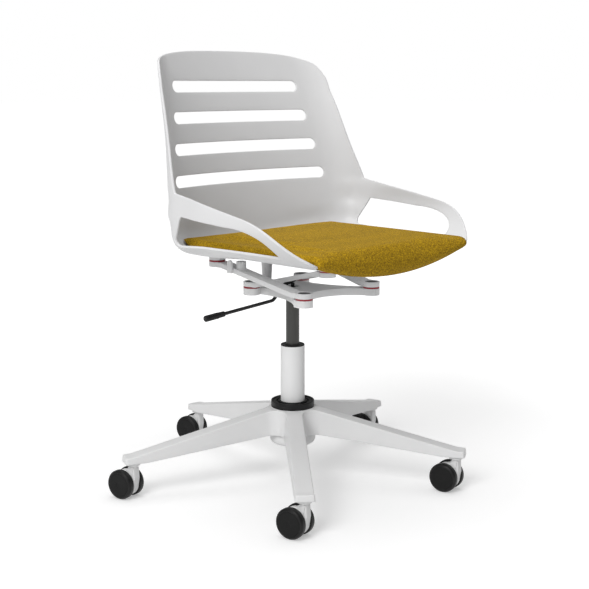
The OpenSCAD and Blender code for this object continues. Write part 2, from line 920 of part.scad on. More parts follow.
module lever_grip() {
    length = norm(grip_end - grip_start);
    neck = (grip_d + lever_d) / 4 + fit_gap;
    color(black)
    translate(in_plane(grip_start))
        rotate([0, -90 - atan(lever_drop_share), 0])
            difference() {
                rotate_extrude()
                    polygon([[0, -grip_sleeve], [neck, -grip_sleeve], [neck, 0],
                        [(grip_d - grip_edge) / 2, 0], [grip_d / 2, grip_edge / 2],
                        [grip_d / 2, length - grip_edge], [grip_d / 2 - grip_edge, length], [0, length]]);
                translate([0, 0, -grip_sleeve - over])
                    cylinder(
                        r = lever_d / 2 + fit_gap,
                        h = grip_sleeve + length * grip_bore_share + over + slide_gap);
            }
}

module lever_pin() {
    color(steel)
    translate([-lever_pivot_x, 0, lever_pivot_z])
        rotate([90, 0, 0])
            cylinder(d = lever_pin_d, h = lever_pin_len, center = true);
}

// Shell: the middle of the wall. depth_at is how far a point of the side view
// lies inside the centre line, and a section gives the half width at a depth.
function back_line(z) =
    back_y + back_lean_share * (z - back_ref_z) + pow(z - back_ref_z, 2) / (2 * back_arc_r);
function half_width(y, z) =
    let (s = max(smooth((z - width_blend_z) / width_blend_h), smooth((y - width_blend_y) / width_blend_l)))
    lerp(seat_half_w, back_half_w, s) - back_taper_share * max(0, z - taper_z);

// 1 at the seat's rear end, 0 well ahead of it and above it
function low_share(y, z) =
    smooth((y - low_blend_y) / low_blend_l) * (1 - smooth((z - low_blend_z) / low_blend_h));
function corner_r(y, z) =
    lerp(
        lerp(seat_corner_r, back_corner_r, smooth((y - corner_blend_y) / corner_blend_l)),
        rear_corner_r, low_share(y, z));
function dish_end(w, r, dish, x, steps) =
    steps == 0 ? x : dish_end(w, r, dish, w - r * (1 - x / norm([x, dish])), steps - 1);

// Section at y and height z: half width, corner radius, end of the dish, sine and
// cosine of the slope there, the dish's depth there and its radius
function section(y, z) =
    let (
        w = half_width(y, z),
        r = corner_r(y, z),
        dish = lerp(dish_r, rear_dish_r, low_share(y, z)),
        x = dish_end(w, r, dish, w - r, 6),
        l = norm([x, dish]))
    [w, r, x, x / l, dish / l, x * x / (2 * dish), dish];
function section_x(s, d) =
    d <= 0 ? 0 : d < s[5] ? sqrt(2 * s[6] * d) :
    let (c = s[4] - (d - s[5]) / s[1]) c <= 0 ? s[0] : s[2] + s[1] * (sqrt(1 - c * c) - s[3]);

// Depth at a share of the section's length from its centre out to depth end
function section_depth(s, share, end) =
    let (
        reach = min(s[2], sqrt(2 * s[6] * end)),
        start = asin(s[3]),
        stop = acos(min(s[4], max(0, s[4] - (end - s[5]) / s[1]))),
        arc = s[1] * (stop - start) * PI / 180,
        wall = max(0, end - s[5] - s[1] * s[4]),
        a = share * (reach + arc + wall))
    a < reach || reach < s[2] ? a * a / (2 * s[6]) :
    a < reach + arc ? s[5] + s[1] * (s[4] - cos(start + (a - reach) / s[1] * 180 / PI)) :
    min(end, s[5] + s[1] * s[4] + a - reach - arc);
function depth_at(y, z) =
    let (up = z - pan_z, ahead = back_line(z) - y, off = up - ahead)
    abs(off) < bend_r ? (up + ahead + sqrt(2 * bend_r * bend_r - off * off)) / 2 - bend_r :
    min(up, ahead);

// Centre line and side edge in the side view; rows 0 to 1 are the seat, 1 to 2
// the bend and 2 to 3 the back
function centre_line(t) =
    t <= 1 ? [lerp(-pan_front, back_line(pan_z) - bend_r, t), pan_z] :
    t <= 2 ? let (z = bend_cz - bend_r * sin(90 * (2 - t)))
        [back_line(z) - bend_r * (1 - cos(90 * (2 - t))), z] :
    let (z = lerp(bend_cz, back_top_z, t - 2)) [back_line(z), z];
function side_line(z) =
    let (s = (z - joint_z) / (back_side_z - joint_z))
    [back_line(z) - lerp(back_line(joint_z) - joint_y, back_side_depth, s) + side_bow * sin(360 * s), z];
function side_edge(t) =
    let (tip = [-pan_front, tip_z], knee = [-knee_y, knee_z], joint = [joint_y, joint_z])
    t <= knee_row_share ?
        let (
            s = t / knee_row_share,
            p = [for (share = arm_curve_shares)
                [lerp(tip[0], knee[0], share[0]), lerp(tip[1], knee[1], share[1])]])
        tip * pow(1 - s, 3) + 3 * p[0] * s * pow(1 - s, 2) + 3 * p[1] * s * s * (1 - s) + knee * pow(s, 3) :
    t <= 1 ? lerp(knee, joint, bend_row_share * (t - knee_row_share) / (1 - knee_row_share)) :
    t <= 1.5 ? lerp(knee, joint, lerp(bend_row_share, 1, (t - 1) * 2)) :
    side_line(lerp(joint_z, back_side_z,
        t <= 2 ? side_start_share * (t - 1.5) * 2 : lerp(side_start_share, 1, t - 2)));

// Point of the middle surface at row t and at share u from the centre (0) to
// the side edge (-1 and 1)
function wall_point(u, t) =
    let (
        e = side_edge(t),
        s = section(e[0], e[1]),
        end = depth_at(e[0], e[1]),
        q = section_depth(s, abs(u), end) / end,
        x_share = section_x(s, q * end) / section_x(s, end),
        rise = lerp(1 - q, pow(max(0, 1 - pow(x_share, top_power)), 1 / top_power), pow(max(0, t - 2), 2)),
        c = centre_line(t),
        z = lerp(e[1], c[1], rise),
        p = t <= 2 ? lerp(c, e, q) : [back_line(z) - q * end, z])
    [sign(u) * section_x(section(p[0], p[1]), depth_at(p[0], p[1])), p[0], p[1]];
function wall_normal(u, t) =
    let (
        du = wall_point(min(1, u + row_step), t) - wall_point(max(-1, u - row_step), t),
        dt = wall_point(u, min(3, t + row_step)) - wall_point(u, max(0, t - row_step)),
        n = cross(du, dt))
    n / norm(n);
function shell_ring(t) =
    let (
        rows = [for (k = [0 : shell_columns])
            let (u = 2 * k / shell_columns - 1) [wall_point(u, t), wall_normal(u, t) * shell_t / 2]])
    concat(
        [for (row = rows) row[0] - row[1]],
        [for (k = [shell_columns : -1 : 0]) rows[k][0] + rows[k][1]]);

module shell_wall() {
    loft([for (k = [0 : shell_rows]) shell_ring(3 * k / shell_rows)]);
}

// Outline of an armrest window in the side view
function window_outline() =
    let (
        cy = -window_front_y + window_curve_l,
        low = [cy - window_curve_l, window_low_z],
        front_top = [cy, window_low_z + window_curve_h],
        rear_top = [window_rear_y, window_top_z],
        heel = [window_heel_y, window_low_z])
    concat(
        [for (k = [0 : 8])
            [cy - window_curve_l * pow(cos(90 * k / 8), 2 / window_power),
                window_low_z + window_curve_h * pow(sin(90 * k / 8), 2 / window_power)]],
        round_corner(front_top, rear_top, heel, window_rear_r, 4),
        round_corner(rear_top, heel, low, window_heel_r, 4));

module windows() {
    reach = 2 * seat_half_w;
    translate([-reach / 2 - over, 0, 0])
        rotate([90, 0, 90])
            linear_extrude(reach + 2 * over)
                polygon(window_outline());
}

module slots() {
    for (k = [0 : slot_count - 1])
        translate([0, back_y + bend_r, slot_z + k * slot_pitch])
            rotate([90, 0, 0])
                slot_prism(slot_half_w - k * slot_step - slot_h / 2, slot_h / 2, 0, 2 * bend_r);
}

// Height of the pan and the bend at (x, y), lifted off the middle of the wall
function seat_dish(x, y = -pan_front, z = pan_z) =
    let (s = section(y, z), a = abs(x))
    a < s[2] ? a * a / (2 * s[6]) :
    s[5] + s[1] * (s[4] - sqrt(max(0, 1 - pow(s[3] + (a - s[2]) / s[1], 2))));
function seat_slope(x, y = -pan_front, z = pan_z) =
    let (s = section(y, z), a = abs(x), v = s[3] + (a - s[2]) / s[1])
    a < s[2] ? a / s[6] : v / sqrt(max(least_draw_share * least_draw_share, 1 - v * v));
function lifted_dish(x, lift, y = -pan_front, z = pan_z) =
    seat_dish(x, y, z) + lift * norm([1, seat_slope(x, y, z)]);
function pan_height(x, y, lift, z = pan_z, steps = 6) =
    let (
        d = lifted_dish(x, lift, y, z),
        out = max(0, y - back_line(z) + bend_r + d),
        next = bend_cz + d - sqrt(max(0, bend_r * bend_r - out * out)))
    steps == 0 ? next : pan_height(x, y, lift, next, steps - 1);

// What stands under the shell round (x, y), within reach of it, cut off at the
// middle of the wall: by a slanted plane under the pan, by a cylinder in the bend
module under_shell(x, y, reach) {
    z = pan_height(x, y, 0);
    ends = [for (side = [-1, 1])
        let (a = x + 2 * side * reach, d = seat_dish(a, y, z)) [a, back_line(z) - bend_r - d, bend_cz + d]];
    difference() {
        children();
        if (y < back_line(pan_z) - bend_r)
            translate([x, y, z])
                rotate([0, -sign(x) * atan(seat_slope(x, y, z)), 0])
                    translate([-boss_reach, -boss_reach, 0])
                        cube(2 * boss_reach);
        else
            rod(ends[0], ends[1], bend_r, $fn = 128);
    }
}

module shell() {
    color(white)
    difference() {
        union() {
            difference() {
                shell_wall();
                windows();
                slots();
            }
            both_sides()
                for (p = [front_right_high, rear_right_high])
                    under_shell(p[0], p[1], pivot_r + over)
                        translate([p[0], p[1], boss_low_z])
                            cylinder(r = pivot_r, h = boss_reach);
            under_shell(0, post_y, post_top_d / 2 + over)
                translate([0, post_y, 0]) {
                    translate([0, 0, post_foot_z])
                        cylinder(d = post_d, h = sleeve_h);
                    translate([0, 0, post_foot_z + sleeve_h])
                        cylinder(d1 = post_d, d2 = post_top_d, h = post_top_z - post_foot_z - sleeve_h);
                }
        }
        both_sides()
            for (p = [[front_right_high, pin_seat], [rear_right_high, front_pin_seat]])
                translate([p[0][0], p[0][1], boss_low_z - over])
                {
                    cylinder(r = pin_d / 2 + fit_gap, h = p[1] + over);
                    cylinder(r = pivot_r + over, h = over);
                }
        screw_holes(screw_d / 2 + 2 * slide_gap);
    }
}

module stop_sleeve() {
    color(black)
    translate([0, post_y, post_foot_z])
        difference() {
            cylinder(r = post_d / 2 + sleeve_wall, h = sleeve_h);
            translate([0, 0, -over])
                cylinder(r = post_d / 2 + fit_gap, h = sleeve_h + 2 * over);
        }
}

// Cushion and its board
board_lift = shell_t / 2 + soft_gap;
foam_lift = board_lift + board_t + soft_gap;
board_low_z = pan_z + lifted_dish(screw_x, board_lift);

function board_ring(x) =
    let (low = pan_z + lifted_dish(x, board_lift), high = pan_z + lifted_dish(x, board_lift + board_t))
    [[x, board_rear, low], [x, -board_front, low], [x, -board_front, high], [x, board_rear, high]];

module screw_places() {
    both_sides()
        for (y = [-screw_front_y, -screw_rear_y])
            translate([screw_x, y, 0])
                children();
}

module screw_holes(r) {
    screw_places()
        translate([0, 0, pan_z - shell_t])
            cylinder(r = r, h = board_low_z + board_t - screw_cover - pan_z + shell_t);
}

module cushion_board() {
    color(dark)
    difference() {
        loft([for (k = [0 : board_columns])
            board_ring(lerp(-board_half_w, board_half_w, k / board_columns))]);
        screw_holes(screw_d / 2 + fit_gap);
    }
}

module board_screws() {
    head_z = pan_z + seat_dish(screw_x - screw_head_d / 2) - shell_t / 2 - slide_gap - screw_head_h;
    color(steel)
    screw_places() {
        translate([0, 0, head_z])
            cylinder(d = screw_head_d, h = screw_head_h);
        translate([0, 0, head_z])
            cylinder(d = screw_d, h = board_low_z + board_t * screw_bite_share - head_z);
    }
}

// How far the foam's underside lies off the wall: over the board, or beside it
function foam_gap(x, y) =
    let (
        beside = max(abs(x) - board_half_w, y - board_rear, -board_front - y),
        share = smooth((beside - 2 * soft_gap) / cushion_edge))
    lerp(foam_lift, shell_t / 2 + hem_gap, share);
function cushion_rear(x) =
    let (
        z = cushion_rear_z - least_foam / 2,
        d = lifted_dish(x, shell_t / 2 + hem_gap, back_line(z) - bend_r, z),
        off = min(bend_r, max(0, bend_cz + d - z)))
    back_line(z) - bend_r - d + sqrt(bend_r * bend_r - off * off);
function cushion_top(x, share, low) =
    let (side = 1 - pow(abs(x) / cushion_half_w, 4))
    max(low + least_foam,
        lerp(cushion_front_z, cushion_rear_z, share) + cushion_crown * side * sin(180 * share));

// Ring of the cushion at x: over the top from rear to nose, round the nose to
// its lip, and back along the underside. Towards the sides it draws in.
function cushion_ring(x) =
    let (
        rear = min(cushion_rear(x), cushion_rear(cushion_half_w)),
        front = -pan_front - soft_gap,
        nose_y = -pan_front + nose_depth - cushion_nose,
        inset = max(0, abs(x) - cushion_half_w + cushion_edge) / cushion_edge,
        draw = max(least_draw_share, sqrt(max(0, 1 - inset * inset))),
        depth = lerp(nose_depth - cushion_nose + soft_gap + nose_least, nose_depth, draw),
        low_front = pan_z + seat_dish(x) - lip_drop,
        top_front = cushion_top(x, 0, pan_height(x, nose_y, foam_gap(x, nose_y))),
        mid = lerp(low_front, top_front, nose_share),
        steps = cushion_top_steps,
        top = [for (k = [steps : -1 : 0])
            let (y = lerp(nose_y, rear, k / steps))
                [x, y, cushion_top(x, k / steps, pan_height(x, y, foam_gap(x, y)))]],
        nose = [for (k = [1 : nose_steps])
            let (turn = lip_end * k / nose_steps)
                [x, nose_y - depth * sin(turn),
                    turn < 90 ? lerp(mid, top_front, cos(turn)) :
                    lerp(mid, low_front, cos(turn) / cos(lip_end))]],
        lip = [[x, front, low_front], [x, front, pan_height(x, front, shell_t / 2 + hem_gap)]],
        behind = board_rear + 2 * soft_gap,
        low = [for (k = [0 : steps])
            let (
                m = cushion_board_steps,
                y = k < m ? lerp(-board_front, behind, k / m) : lerp(behind, rear, (k - m) / (steps - m)))
                [x, y, pan_height(x, y, foam_gap(x, y))]],
        over_ring = concat(top, nose),
        back = [for (k = [1 : nose_steps - 2]) lerp(lip[1], low[0], k / (nose_steps - 1))],
        under_ring = concat(lip, back, low),
        n = len(over_ring) + len(under_ring),
        ring = concat(over_ring, under_ring))
    [for (j = [0 : n - 1])
        let (p = ring[j], opposite = ring[n - 1 - j], middle = (p[2] + opposite[2]) / 2)
            [x, p[1], middle + (p[2] - middle) * draw]];

module cushion() {
    inner = board_half_w + 2 * soft_gap;
    half = [for (share = [1, 0.75, 0.4, 0]) cushion_half_w - cushion_edge * (1 - share)];
    stations = concat(
        half,
        [for (k = [0 : cushion_columns]) lerp(inner, -inner, k / cushion_columns)],
        [for (k = [len(half) - 1 : -1 : 0]) -half[k]]);
    color(fabric)
        loft([for (x = stations) cushion_ring(x)]);
}

base_star();
hub_cover_ring();
column_tube();
column_guide_bush();
column_top_collar();
thrust_bearing();
buffer_ring();
retaining_clip();
piston_rod();
inner_tube();
tube_gland();
valve_pin();
bracket();
bracket_rings();
bracket_pins();
lever_rod();
lever_grip();
lever_pin();
shell();
shell_rings();
shell_pins();
stop_sleeve();
cushion_board();
board_screws();
cushion();
front_link();  // link_front_right
front_link_left();  // link_front_left
rear_link();  // link_rear_right
mirror([1, 0, 0]) rear_link();  // link_rear_left
bushes(front_right_low, front_right_high, 0);  // bushes_front_right
mirror([1, 0, 0]) bushes(front_right_low, front_right_high, loop_gap);  // bushes_front_left
bushes(rear_right_low, rear_right_high, loop_gap);  // bushes_rear_right
mirror([1, 0, 0]) bushes(rear_right_low, rear_right_high, loop_gap);  // bushes_rear_left
for (k = [1 : arm_count]) {
    at_caster(k) caster_fork();
    at_caster(k) caster_pins();
    at_caster(k) caster_wheel(-1);
    at_caster(k) caster_wheel(1);
}
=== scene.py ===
from math import atan2, cos, pi, radians, sin, sqrt

import bmesh
import bpy
import numpy as np
from mathutils import Matrix, Vector
from mathutils.bvhtree import BVHTree
from mathutils.geometry import delaunay_2d_cdt


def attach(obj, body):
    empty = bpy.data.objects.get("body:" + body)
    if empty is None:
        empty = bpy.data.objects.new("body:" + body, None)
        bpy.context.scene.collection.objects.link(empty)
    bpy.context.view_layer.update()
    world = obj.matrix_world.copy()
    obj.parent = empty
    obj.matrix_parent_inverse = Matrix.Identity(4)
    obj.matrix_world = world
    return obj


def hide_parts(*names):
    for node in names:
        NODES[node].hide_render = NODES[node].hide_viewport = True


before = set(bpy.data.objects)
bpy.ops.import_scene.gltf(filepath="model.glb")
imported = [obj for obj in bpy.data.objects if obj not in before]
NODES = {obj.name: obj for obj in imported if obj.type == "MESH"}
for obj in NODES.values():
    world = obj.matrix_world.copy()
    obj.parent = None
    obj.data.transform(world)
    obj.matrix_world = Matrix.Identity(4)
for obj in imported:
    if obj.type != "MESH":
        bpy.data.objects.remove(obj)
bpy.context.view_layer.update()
MM = 0.001
PLACES = ("front_right", "rear_right", "front_left", "rear_left")
CASTERS = range(1, 6)

# ---------------------------------------------------------------- dimensions, mm and degrees
# Casters, and where they stand
WHEEL_R, WHEEL_W, WHEEL_GAP, CASTER_TRAIL = 30.0, 14.4, 18.4, 20.0
STAR_R, STAR_TURN, CASTER_TURN = 343.5, 12.7, 102.7

# Base star, hub and cover ring
ARM_LOW_Z, ARM_TIP_H, ARM_TIP_W, ARM_ROOT_W, ARM_ROOT_H = 76.0, 14.0, 38.0, 43.0, 52.0
ARM_CORNER_R, TIP_BOW, ARM_DRAFT, WEB_FILLET = 8.5, 0.6, 0.10, 26.0
ARM_EDGE, ARM_FOOT_EDGE, ARM_LEVEL_END = 2.2, 1.0, 24
HUB_TOP_Z, HUB_H, HUB_R, HUB_FLARE = 158.0, 78.0, 46.0, 2.0
COVER_H, COVER_R = 13.5, 45.0

# Column; FIT is the play round its tubes
TUBE_R, TUBE_WALL, TUBE_TOP_Z, TUBE_LOW_Z, INNER_R, FIT = 25.0, 2.0, 288.0, 84.0, 14.0, 0.1

# Bosses and stop post under the shell
FRONT_HIGH, REAR_HIGH = (62.5, -157.5), (118.5, 98.5)
PIVOT_R, BOSS_LOW_Z, BOSS_FLARE = 17.0, 469.25, 7.0
POST_R, POST_Y, POST_FOOT_Z, POST_FLARE, POST_SPREAD = 9.0, 76.5, 403.75, 9.0, 3

# Lever, which falls by LEVER_DROP for each mm outwards
LEVER_PIVOT_X, PLATE_TOP_Z, LEVER_R, LEVER_REACH, LEVER_DROP = 45.0, 411.75, 3.5, 238.0, 0.071
GRIP_R, GRIP_LEN = 6.25, 49.0

# Shell: middle of the wall. Rows run over the seat (0 to 1), the bend (1 to 2) and the back (2 to 3)
SHELL_T, PAN_Z, PAN_FRONT, BEND_R = 5.0, 470.0, 272.0, 55.2
DISH_R, REAR_DISH_R = 694.0, 934.0
SEAT_HALF_W, BACK_HALF_W = 283.4, 271.4
SEAT_CORNER_R, REAR_CORNER_R, BACK_CORNER_R = 113.0, 69.8, 88.5
BACK_Y, BACK_REF_Z, BACK_LEAN, BACK_ARC_R, BACK_TOP_Z = 147.7, 630.0, 0.1623, 1859.0, 889.0
BACK_SIDE_Z, BACK_SIDE_DEPTH, BACK_TAPER, TAPER_Z = 851.7, 53.2, 0.145, 620.0

# Where the blends of width, low corner and upper corner start, each followed by its length
WIDTH_BLEND = (560.0, 50.0, 65.9, 78.8)
LOW_BLEND = (-5.2, 66.5, 507.0, 53.6)
CORNER_BLEND = (-130.5, 176.0)

# Side edge, (y, z): tip of the arm, knee, joint with the back, and the arm's curve
TIP = (-272.0, 510.0)
KNEE = (-142.8, 584.4)
JOINT = (45.7, 616.7)
ARM_SHARES = ((0.392, 0.547), (0.464, 0.840))
KNEE_ROW, BEND_ROW, SIDE_START, SIDE_BOW, TOP_POWER = 0.6, 0.77, 0.12, 2.3, 2.7
EDGE_SAMPLES, EDGE_EASE = 1201, 14

# Slots, rims, tip corners and arm windows
SLOT_Z, SLOT_PITCH, SLOT_H, SLOT_HALF_W, SLOT_STEP = 629.6, 62.1, 23.0, 211.5, 12.2
RIM_R = 1.7
TIP_R = 9.0
WINDOW_LOW_Z, WINDOW_TOP_Z, WINDOW_FRONT_Y = 515.5, 573.5, 208.0
WINDOW_CURVE, WINDOW_POWER, WINDOW_REAR_Y, WINDOW_HEEL_Y = (108.0, 49.3), 2.2, 28.0, 63.0

# Top corners: wider by TOP_WIDEN, edge curved back by TOP_SWELL, cut off round by TOP_CORNER
TOP_WIDEN, TOP_WIDEN_Z, TOP_WIDEN_H = 5.5, 690.0, 150.0
TOP_SWELL, TOP_SWELL_FROM = 5.0, 0.79
TOP_CORNER = (0.010, 0.045)

# Waist of the wall beside the arm window, (y, z)
WAIST, WAIST_AT, WAIST_REACH = 7.0, (22.0, 572.0), 42.0

# Rough lengths of half the width, seat, bend and back, at which the wall is cut in even triangles
HALF_SPAN, SEAT_SPAN, BEND_SPAN, BACK_SPAN = 300, 400, 130, 360

# Cushion, with the form of its nose and its gap to the pan
CUSHION_HALF_W, CUSHION_REAR_Z, CUSHION_FRONT_Z, CUSHION_NOSE = 212.0, 522.0, 521.0, 13.0
CUSHION_REAR_Y, CUSHION_CROWN, CUSHION_EDGE, CUSHION_MIN = 95.0, 3.0, 8.0, 5
NOSE_BACK, LIP_DROP, REAR_ROUND, PAN_GAP, PAN_LIMIT_Z = 8, 8.4, 9, 1.2, 560

# Cloth: pressure, frames, most that a point moves, and the border over which that fades out
PRESSURE, SIM_FRAMES, SWELL, EASE = 4.0, 20, 5.0, 45.0

# Studio, in metres: world, floor, lights (place, size, power) and camera
WORLD_STRENGTH, FLOOR_HALF = 0.28, 40
FLOOR_FADE = {"From Min": 0.45, "From Max": 2.0, "To Min": 0.33, "To Max": 0.80}
LIGHT_AIM = (0, 0, 0.45)
LIGHTS = {"key": ((-3.55, -1.25, 3.0), (2.0, 2.0), 116), "top": ((0.3, 0.2, 4.3), (3.2, 3.2), 60)}
CAMERA_LENS, CAMERA_SENSOR, CAMERA_FAR = 72.96, 36.0, 200.0
CAMERA_AT, CAMERA_AXIS = (-1.7097, -1.7151, 0.8244), (0.6962, 0.6962, -0.1750)


# ---------------------------------------------------------------- materials
def nodes_of(name):
    """A new material, its node tree and its Principled shader."""
    mat = bpy.data.materials.new(name)
    mat.use_nodes = True
    tree = mat.node_tree
    return mat, tree, tree.nodes["Principled BSDF"]


def link(tree, a, b):
    tree.links.new(a, b)


def texture(tree, kind, scale, stretch=(1, 1, 1), **values):
    """A texture node on the object's own coordinates, in metres."""
    coords = tree.nodes.new("ShaderNodeTexCoord")
    mapping = tree.nodes.new("ShaderNodeMapping")
    mapping.inputs["Scale"].default_value = stretch
    node = tree.nodes.new(kind)
    node.inputs["Scale"].default_value = scale
    for key, value in values.items():
        node.inputs[key].default_value = value
    link(tree, coords.outputs["Object"], mapping.inputs["Vector"])
    link(tree, mapping.outputs["Vector"], node.inputs["Vector"])
    return node


def ramp(tree, value, low, high, start=0.35, end=0.65):
    """Colours or greys from low to high as value goes from start to end."""
    node = tree.nodes.new("ShaderNodeValToRGB")
    node.color_ramp.elements[0].position = start
    node.color_ramp.elements[1].position = end
    for element, colour in zip(node.color_ramp.elements, (low, high)):
        element.color = (*colour, 1) if hasattr(colour, "__len__") else (colour, colour, colour, 1)
    link(tree, value, node.inputs["Fac"])
    return node.outputs["Color"]


def bump(tree, shader, height, strength, distance):
    """Relief for the shader from the height socket, distance in metres."""
    node = tree.nodes.new("ShaderNodeBump")
    node.inputs["Strength"].default_value = strength
    node.inputs["Distance"].default_value = distance
    link(tree, height, node.inputs["Height"])
    link(tree, node.outputs["Normal"], shader.inputs["Normal"])


def set_or_link(tree, socket, value):
    """Give the socket a plain value, or a link from another socket."""
    if isinstance(value, (float, tuple)):
        socket.default_value = value
    else:
        link(tree, value, socket)


def maths(tree, operation, a, b):
    """Output of a Math node on a and b, each a number or a socket."""
    node = tree.nodes.new("ShaderNodeMath")
    node.operation = operation
    set_or_link(tree, node.inputs[0], a)
    set_or_link(tree, node.inputs[1], b)
    return node.outputs["Value"]


def mixed(tree, factor, a, b, blend="MIX"):
    """Colour a with b over it."""
    node = tree.nodes.new("ShaderNodeMix")
    node.data_type = "RGBA"
    node.blend_type = blend
    set_or_link(tree, node.inputs["Factor"], factor)
    set_or_link(tree, node.inputs[6], a)
    set_or_link(tree, node.inputs[7], b)
    return node.outputs[2]


def chosen(tree, factor, a, b):
    """Shader a where the factor is 0 and b where it is 1."""
    node = tree.nodes.new("ShaderNodeMixShader")
    for socket, value in zip(node.inputs, (factor, a, b)):
        link(tree, value, socket)
    return node.outputs[0]


def moulded(name, colour, roughness, grain=900.0, depth=0.00003, spread=0.035, metallic=0.0,
            stretch=(1, 1, 1), specular=0.45):
    """Plastic, paint or metal: slight tone drift, fine grain, uneven roughness."""
    mat, tree, shader = nodes_of(name)
    drift = texture(tree, "ShaderNodeTexNoise", 9.0, Detail=3.0)
    low = [c * (1 - spread) for c in colour]
    high = [min(1, c * (1 + spread)) for c in colour]
    link(tree, ramp(tree, drift.outputs["Fac"], low, high), shader.inputs["Base Color"])
    fine = texture(tree, "ShaderNodeTexNoise", grain, stretch, Detail=2.0)
    link(tree, ramp(tree, fine.outputs["Fac"], roughness * 0.88, min(1, roughness * 1.12), 0.3, 0.7),
         shader.inputs["Roughness"])
    bump(tree, shader, fine.outputs["Fac"], 0.35, depth)
    shader.inputs["Metallic"].default_value = metallic
    shader.inputs["Specular IOR Level"].default_value = specular
    return mat


def woven(name, dark, mid, light):
    """Upholstery cloth: melange yarns in a small weave, soft nap and sheen."""
    mat, tree, shader = nodes_of(name)
    yarn = texture(tree, "ShaderNodeTexVoronoi", 620.0, (1.0, 1.35, 1.0), Randomness=0.75)
    melange = texture(tree, "ShaderNodeTexNoise", 330.0, (1.0, 1.6, 1.0), Detail=4.0, Roughness=0.72)
    cloud = texture(tree, "ShaderNodeTexNoise", 26.0, Detail=2.0)
    fleck = ramp(tree, melange.outputs["Fac"], dark, light, 0.40, 0.62)
    low, high = [c * 0.92 for c in mid], [min(1, c * 1.08) for c in mid]
    wide = ramp(tree, cloud.outputs["Fac"], low, high, 0.3, 0.7)
    weave = ramp(tree, yarn.outputs["Distance"], 1.0, 0.25, 0.15, 0.7)
    colour = mixed(tree, 0.7, mixed(tree, 0.3, fleck, wide), weave, "MULTIPLY")
    # The light that the cloth throws on the shell is mostly grey
    rays = tree.nodes.new("ShaderNodeLightPath")
    spill = maths(tree, "MULTIPLY", rays.outputs["Is Diffuse Ray"], 0.8)
    link(tree, mixed(tree, spill, colour, (0.22, 0.22, 0.22, 1)), shader.inputs["Base Color"])
    height = maths(tree, "SUBTRACT", melange.outputs["Fac"], yarn.outputs["Distance"])
    bump(tree, shader, height, 0.8, 0.00035)
    shader.inputs["Roughness"].default_value = 0.92
    shader.inputs["Specular IOR Level"].default_value = 0.2
    shader.inputs["Sheen Weight"].default_value = 0.06
    shader.inputs["Sheen Roughness"].default_value = 0.5
    shader.inputs["Sheen Tint"].default_value = (0.9, 0.72, 0.3, 1)
    return mat


WHITE_SHELL = moulded("shell_plastic", (0.79, 0.79, 0.795), 0.42, 1500.0, 0.00002, 0.012)
WHITE_BASE = moulded("base_plastic", (0.82, 0.82, 0.82), 0.40, 1300.0, 0.00002, 0.015)
WHITE_PAINT = moulded("white_powder_coat", (0.84, 0.84, 0.84), 0.46, 1900.0, 0.00005, 0.015)
BLACK_PLASTIC = moulded("black_plastic", (0.009, 0.009, 0.0095), 0.45, 1100.0, 0.00004, 0.12, specular=0.22)
BLACK_RUBBER = moulded("black_rubber", (0.014, 0.014, 0.014), 0.72, 700.0, 0.00006, 0.2, specular=0.3)
WHEEL_DISC = moulded("wheel_disc", (0.0085, 0.0085, 0.0085), 0.55, 1200.0, 0.00002, 0.06, specular=0.2)
WHEEL_TREAD = moulded("wheel_tread", (0.0075, 0.0075, 0.0075), 0.40, 800.0, 0.00005, 0.15, specular=0.3)
DARK_STEEL = moulded("dark_steel", (0.062, 0.062, 0.059), 0.36, 700.0, 0.00001, 0.06, 0.5, (1, 1, 0.04), 0.35)
LEVER_BLACK = moulded("lever_black", (0.009, 0.009, 0.009), 0.38, 900.0, 0.00002, 0.1, specular=0.3)
STEEL = moulded("steel", (0.55, 0.55, 0.54), 0.32, 600.0, 0.00001, 0.04, 0.9)
RED_RING = moulded("red_ring", (0.32, 0.016, 0.028), 0.45, 1200.0, 0.00003, 0.08)
DARK_CAP = moulded("dark_cap", (0.045, 0.045, 0.045), 0.5, 1200.0, 0.00003, 0.1)
BOARD = moulded("board", (0.05, 0.042, 0.035), 0.7, 500.0, 0.0001, 0.2)
CLOTH = woven("ochre_cloth", (0.24, 0.130, 0.002), (0.60, 0.335, 0.006), (1.0, 0.62, 0.018))


# ---------------------------------------------------------------- mesh helpers
def new_piece(name, verts, faces, mats, body, matrix=None, face_mats=None, sharp=40):
    """Object from points in mm and faces; body None leaves it without a ride."""
    points = np.asarray(verts, float) * MM
    if matrix is not None:
        m = np.array(matrix)
        points = points @ m[:3, :3].T + m[:3, 3] * MM
    mesh = bpy.data.meshes.new(name)
    mesh.from_pydata([tuple(p) for p in points], [], [tuple(int(i) for i in f) for f in faces])
    for mat in mats if isinstance(mats, (list, tuple)) else [mats]:
        mesh.materials.append(mat)
    if face_mats is not None:
        mesh.polygons.foreach_set("material_index", np.asarray(face_mats, np.int32))
    mesh.validate()
    mesh.shade_smooth()
    mesh.set_sharp_from_angle(angle=radians(sharp))
    mesh.update()
    obj = bpy.data.objects.new(name, mesh)
    bpy.context.scene.collection.objects.link(obj)
    if body:
        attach(obj, body)
    return obj


def join(*parts):
    """(verts, faces) of several (verts, faces)."""
    verts, faces, start = [], [], 0
    for v, f in parts:
        verts += [tuple(p) for p in v]
        faces += [tuple(int(i) + start for i in face) for face in f]
        start += len(v)
    return verts, faces


def moved(part, matrix):
    """The part's points through the 4x4 matrix."""
    m = np.array(matrix)
    return np.asarray(part[0], float) @ m[:3, :3].T + m[:3, 3], part[1]


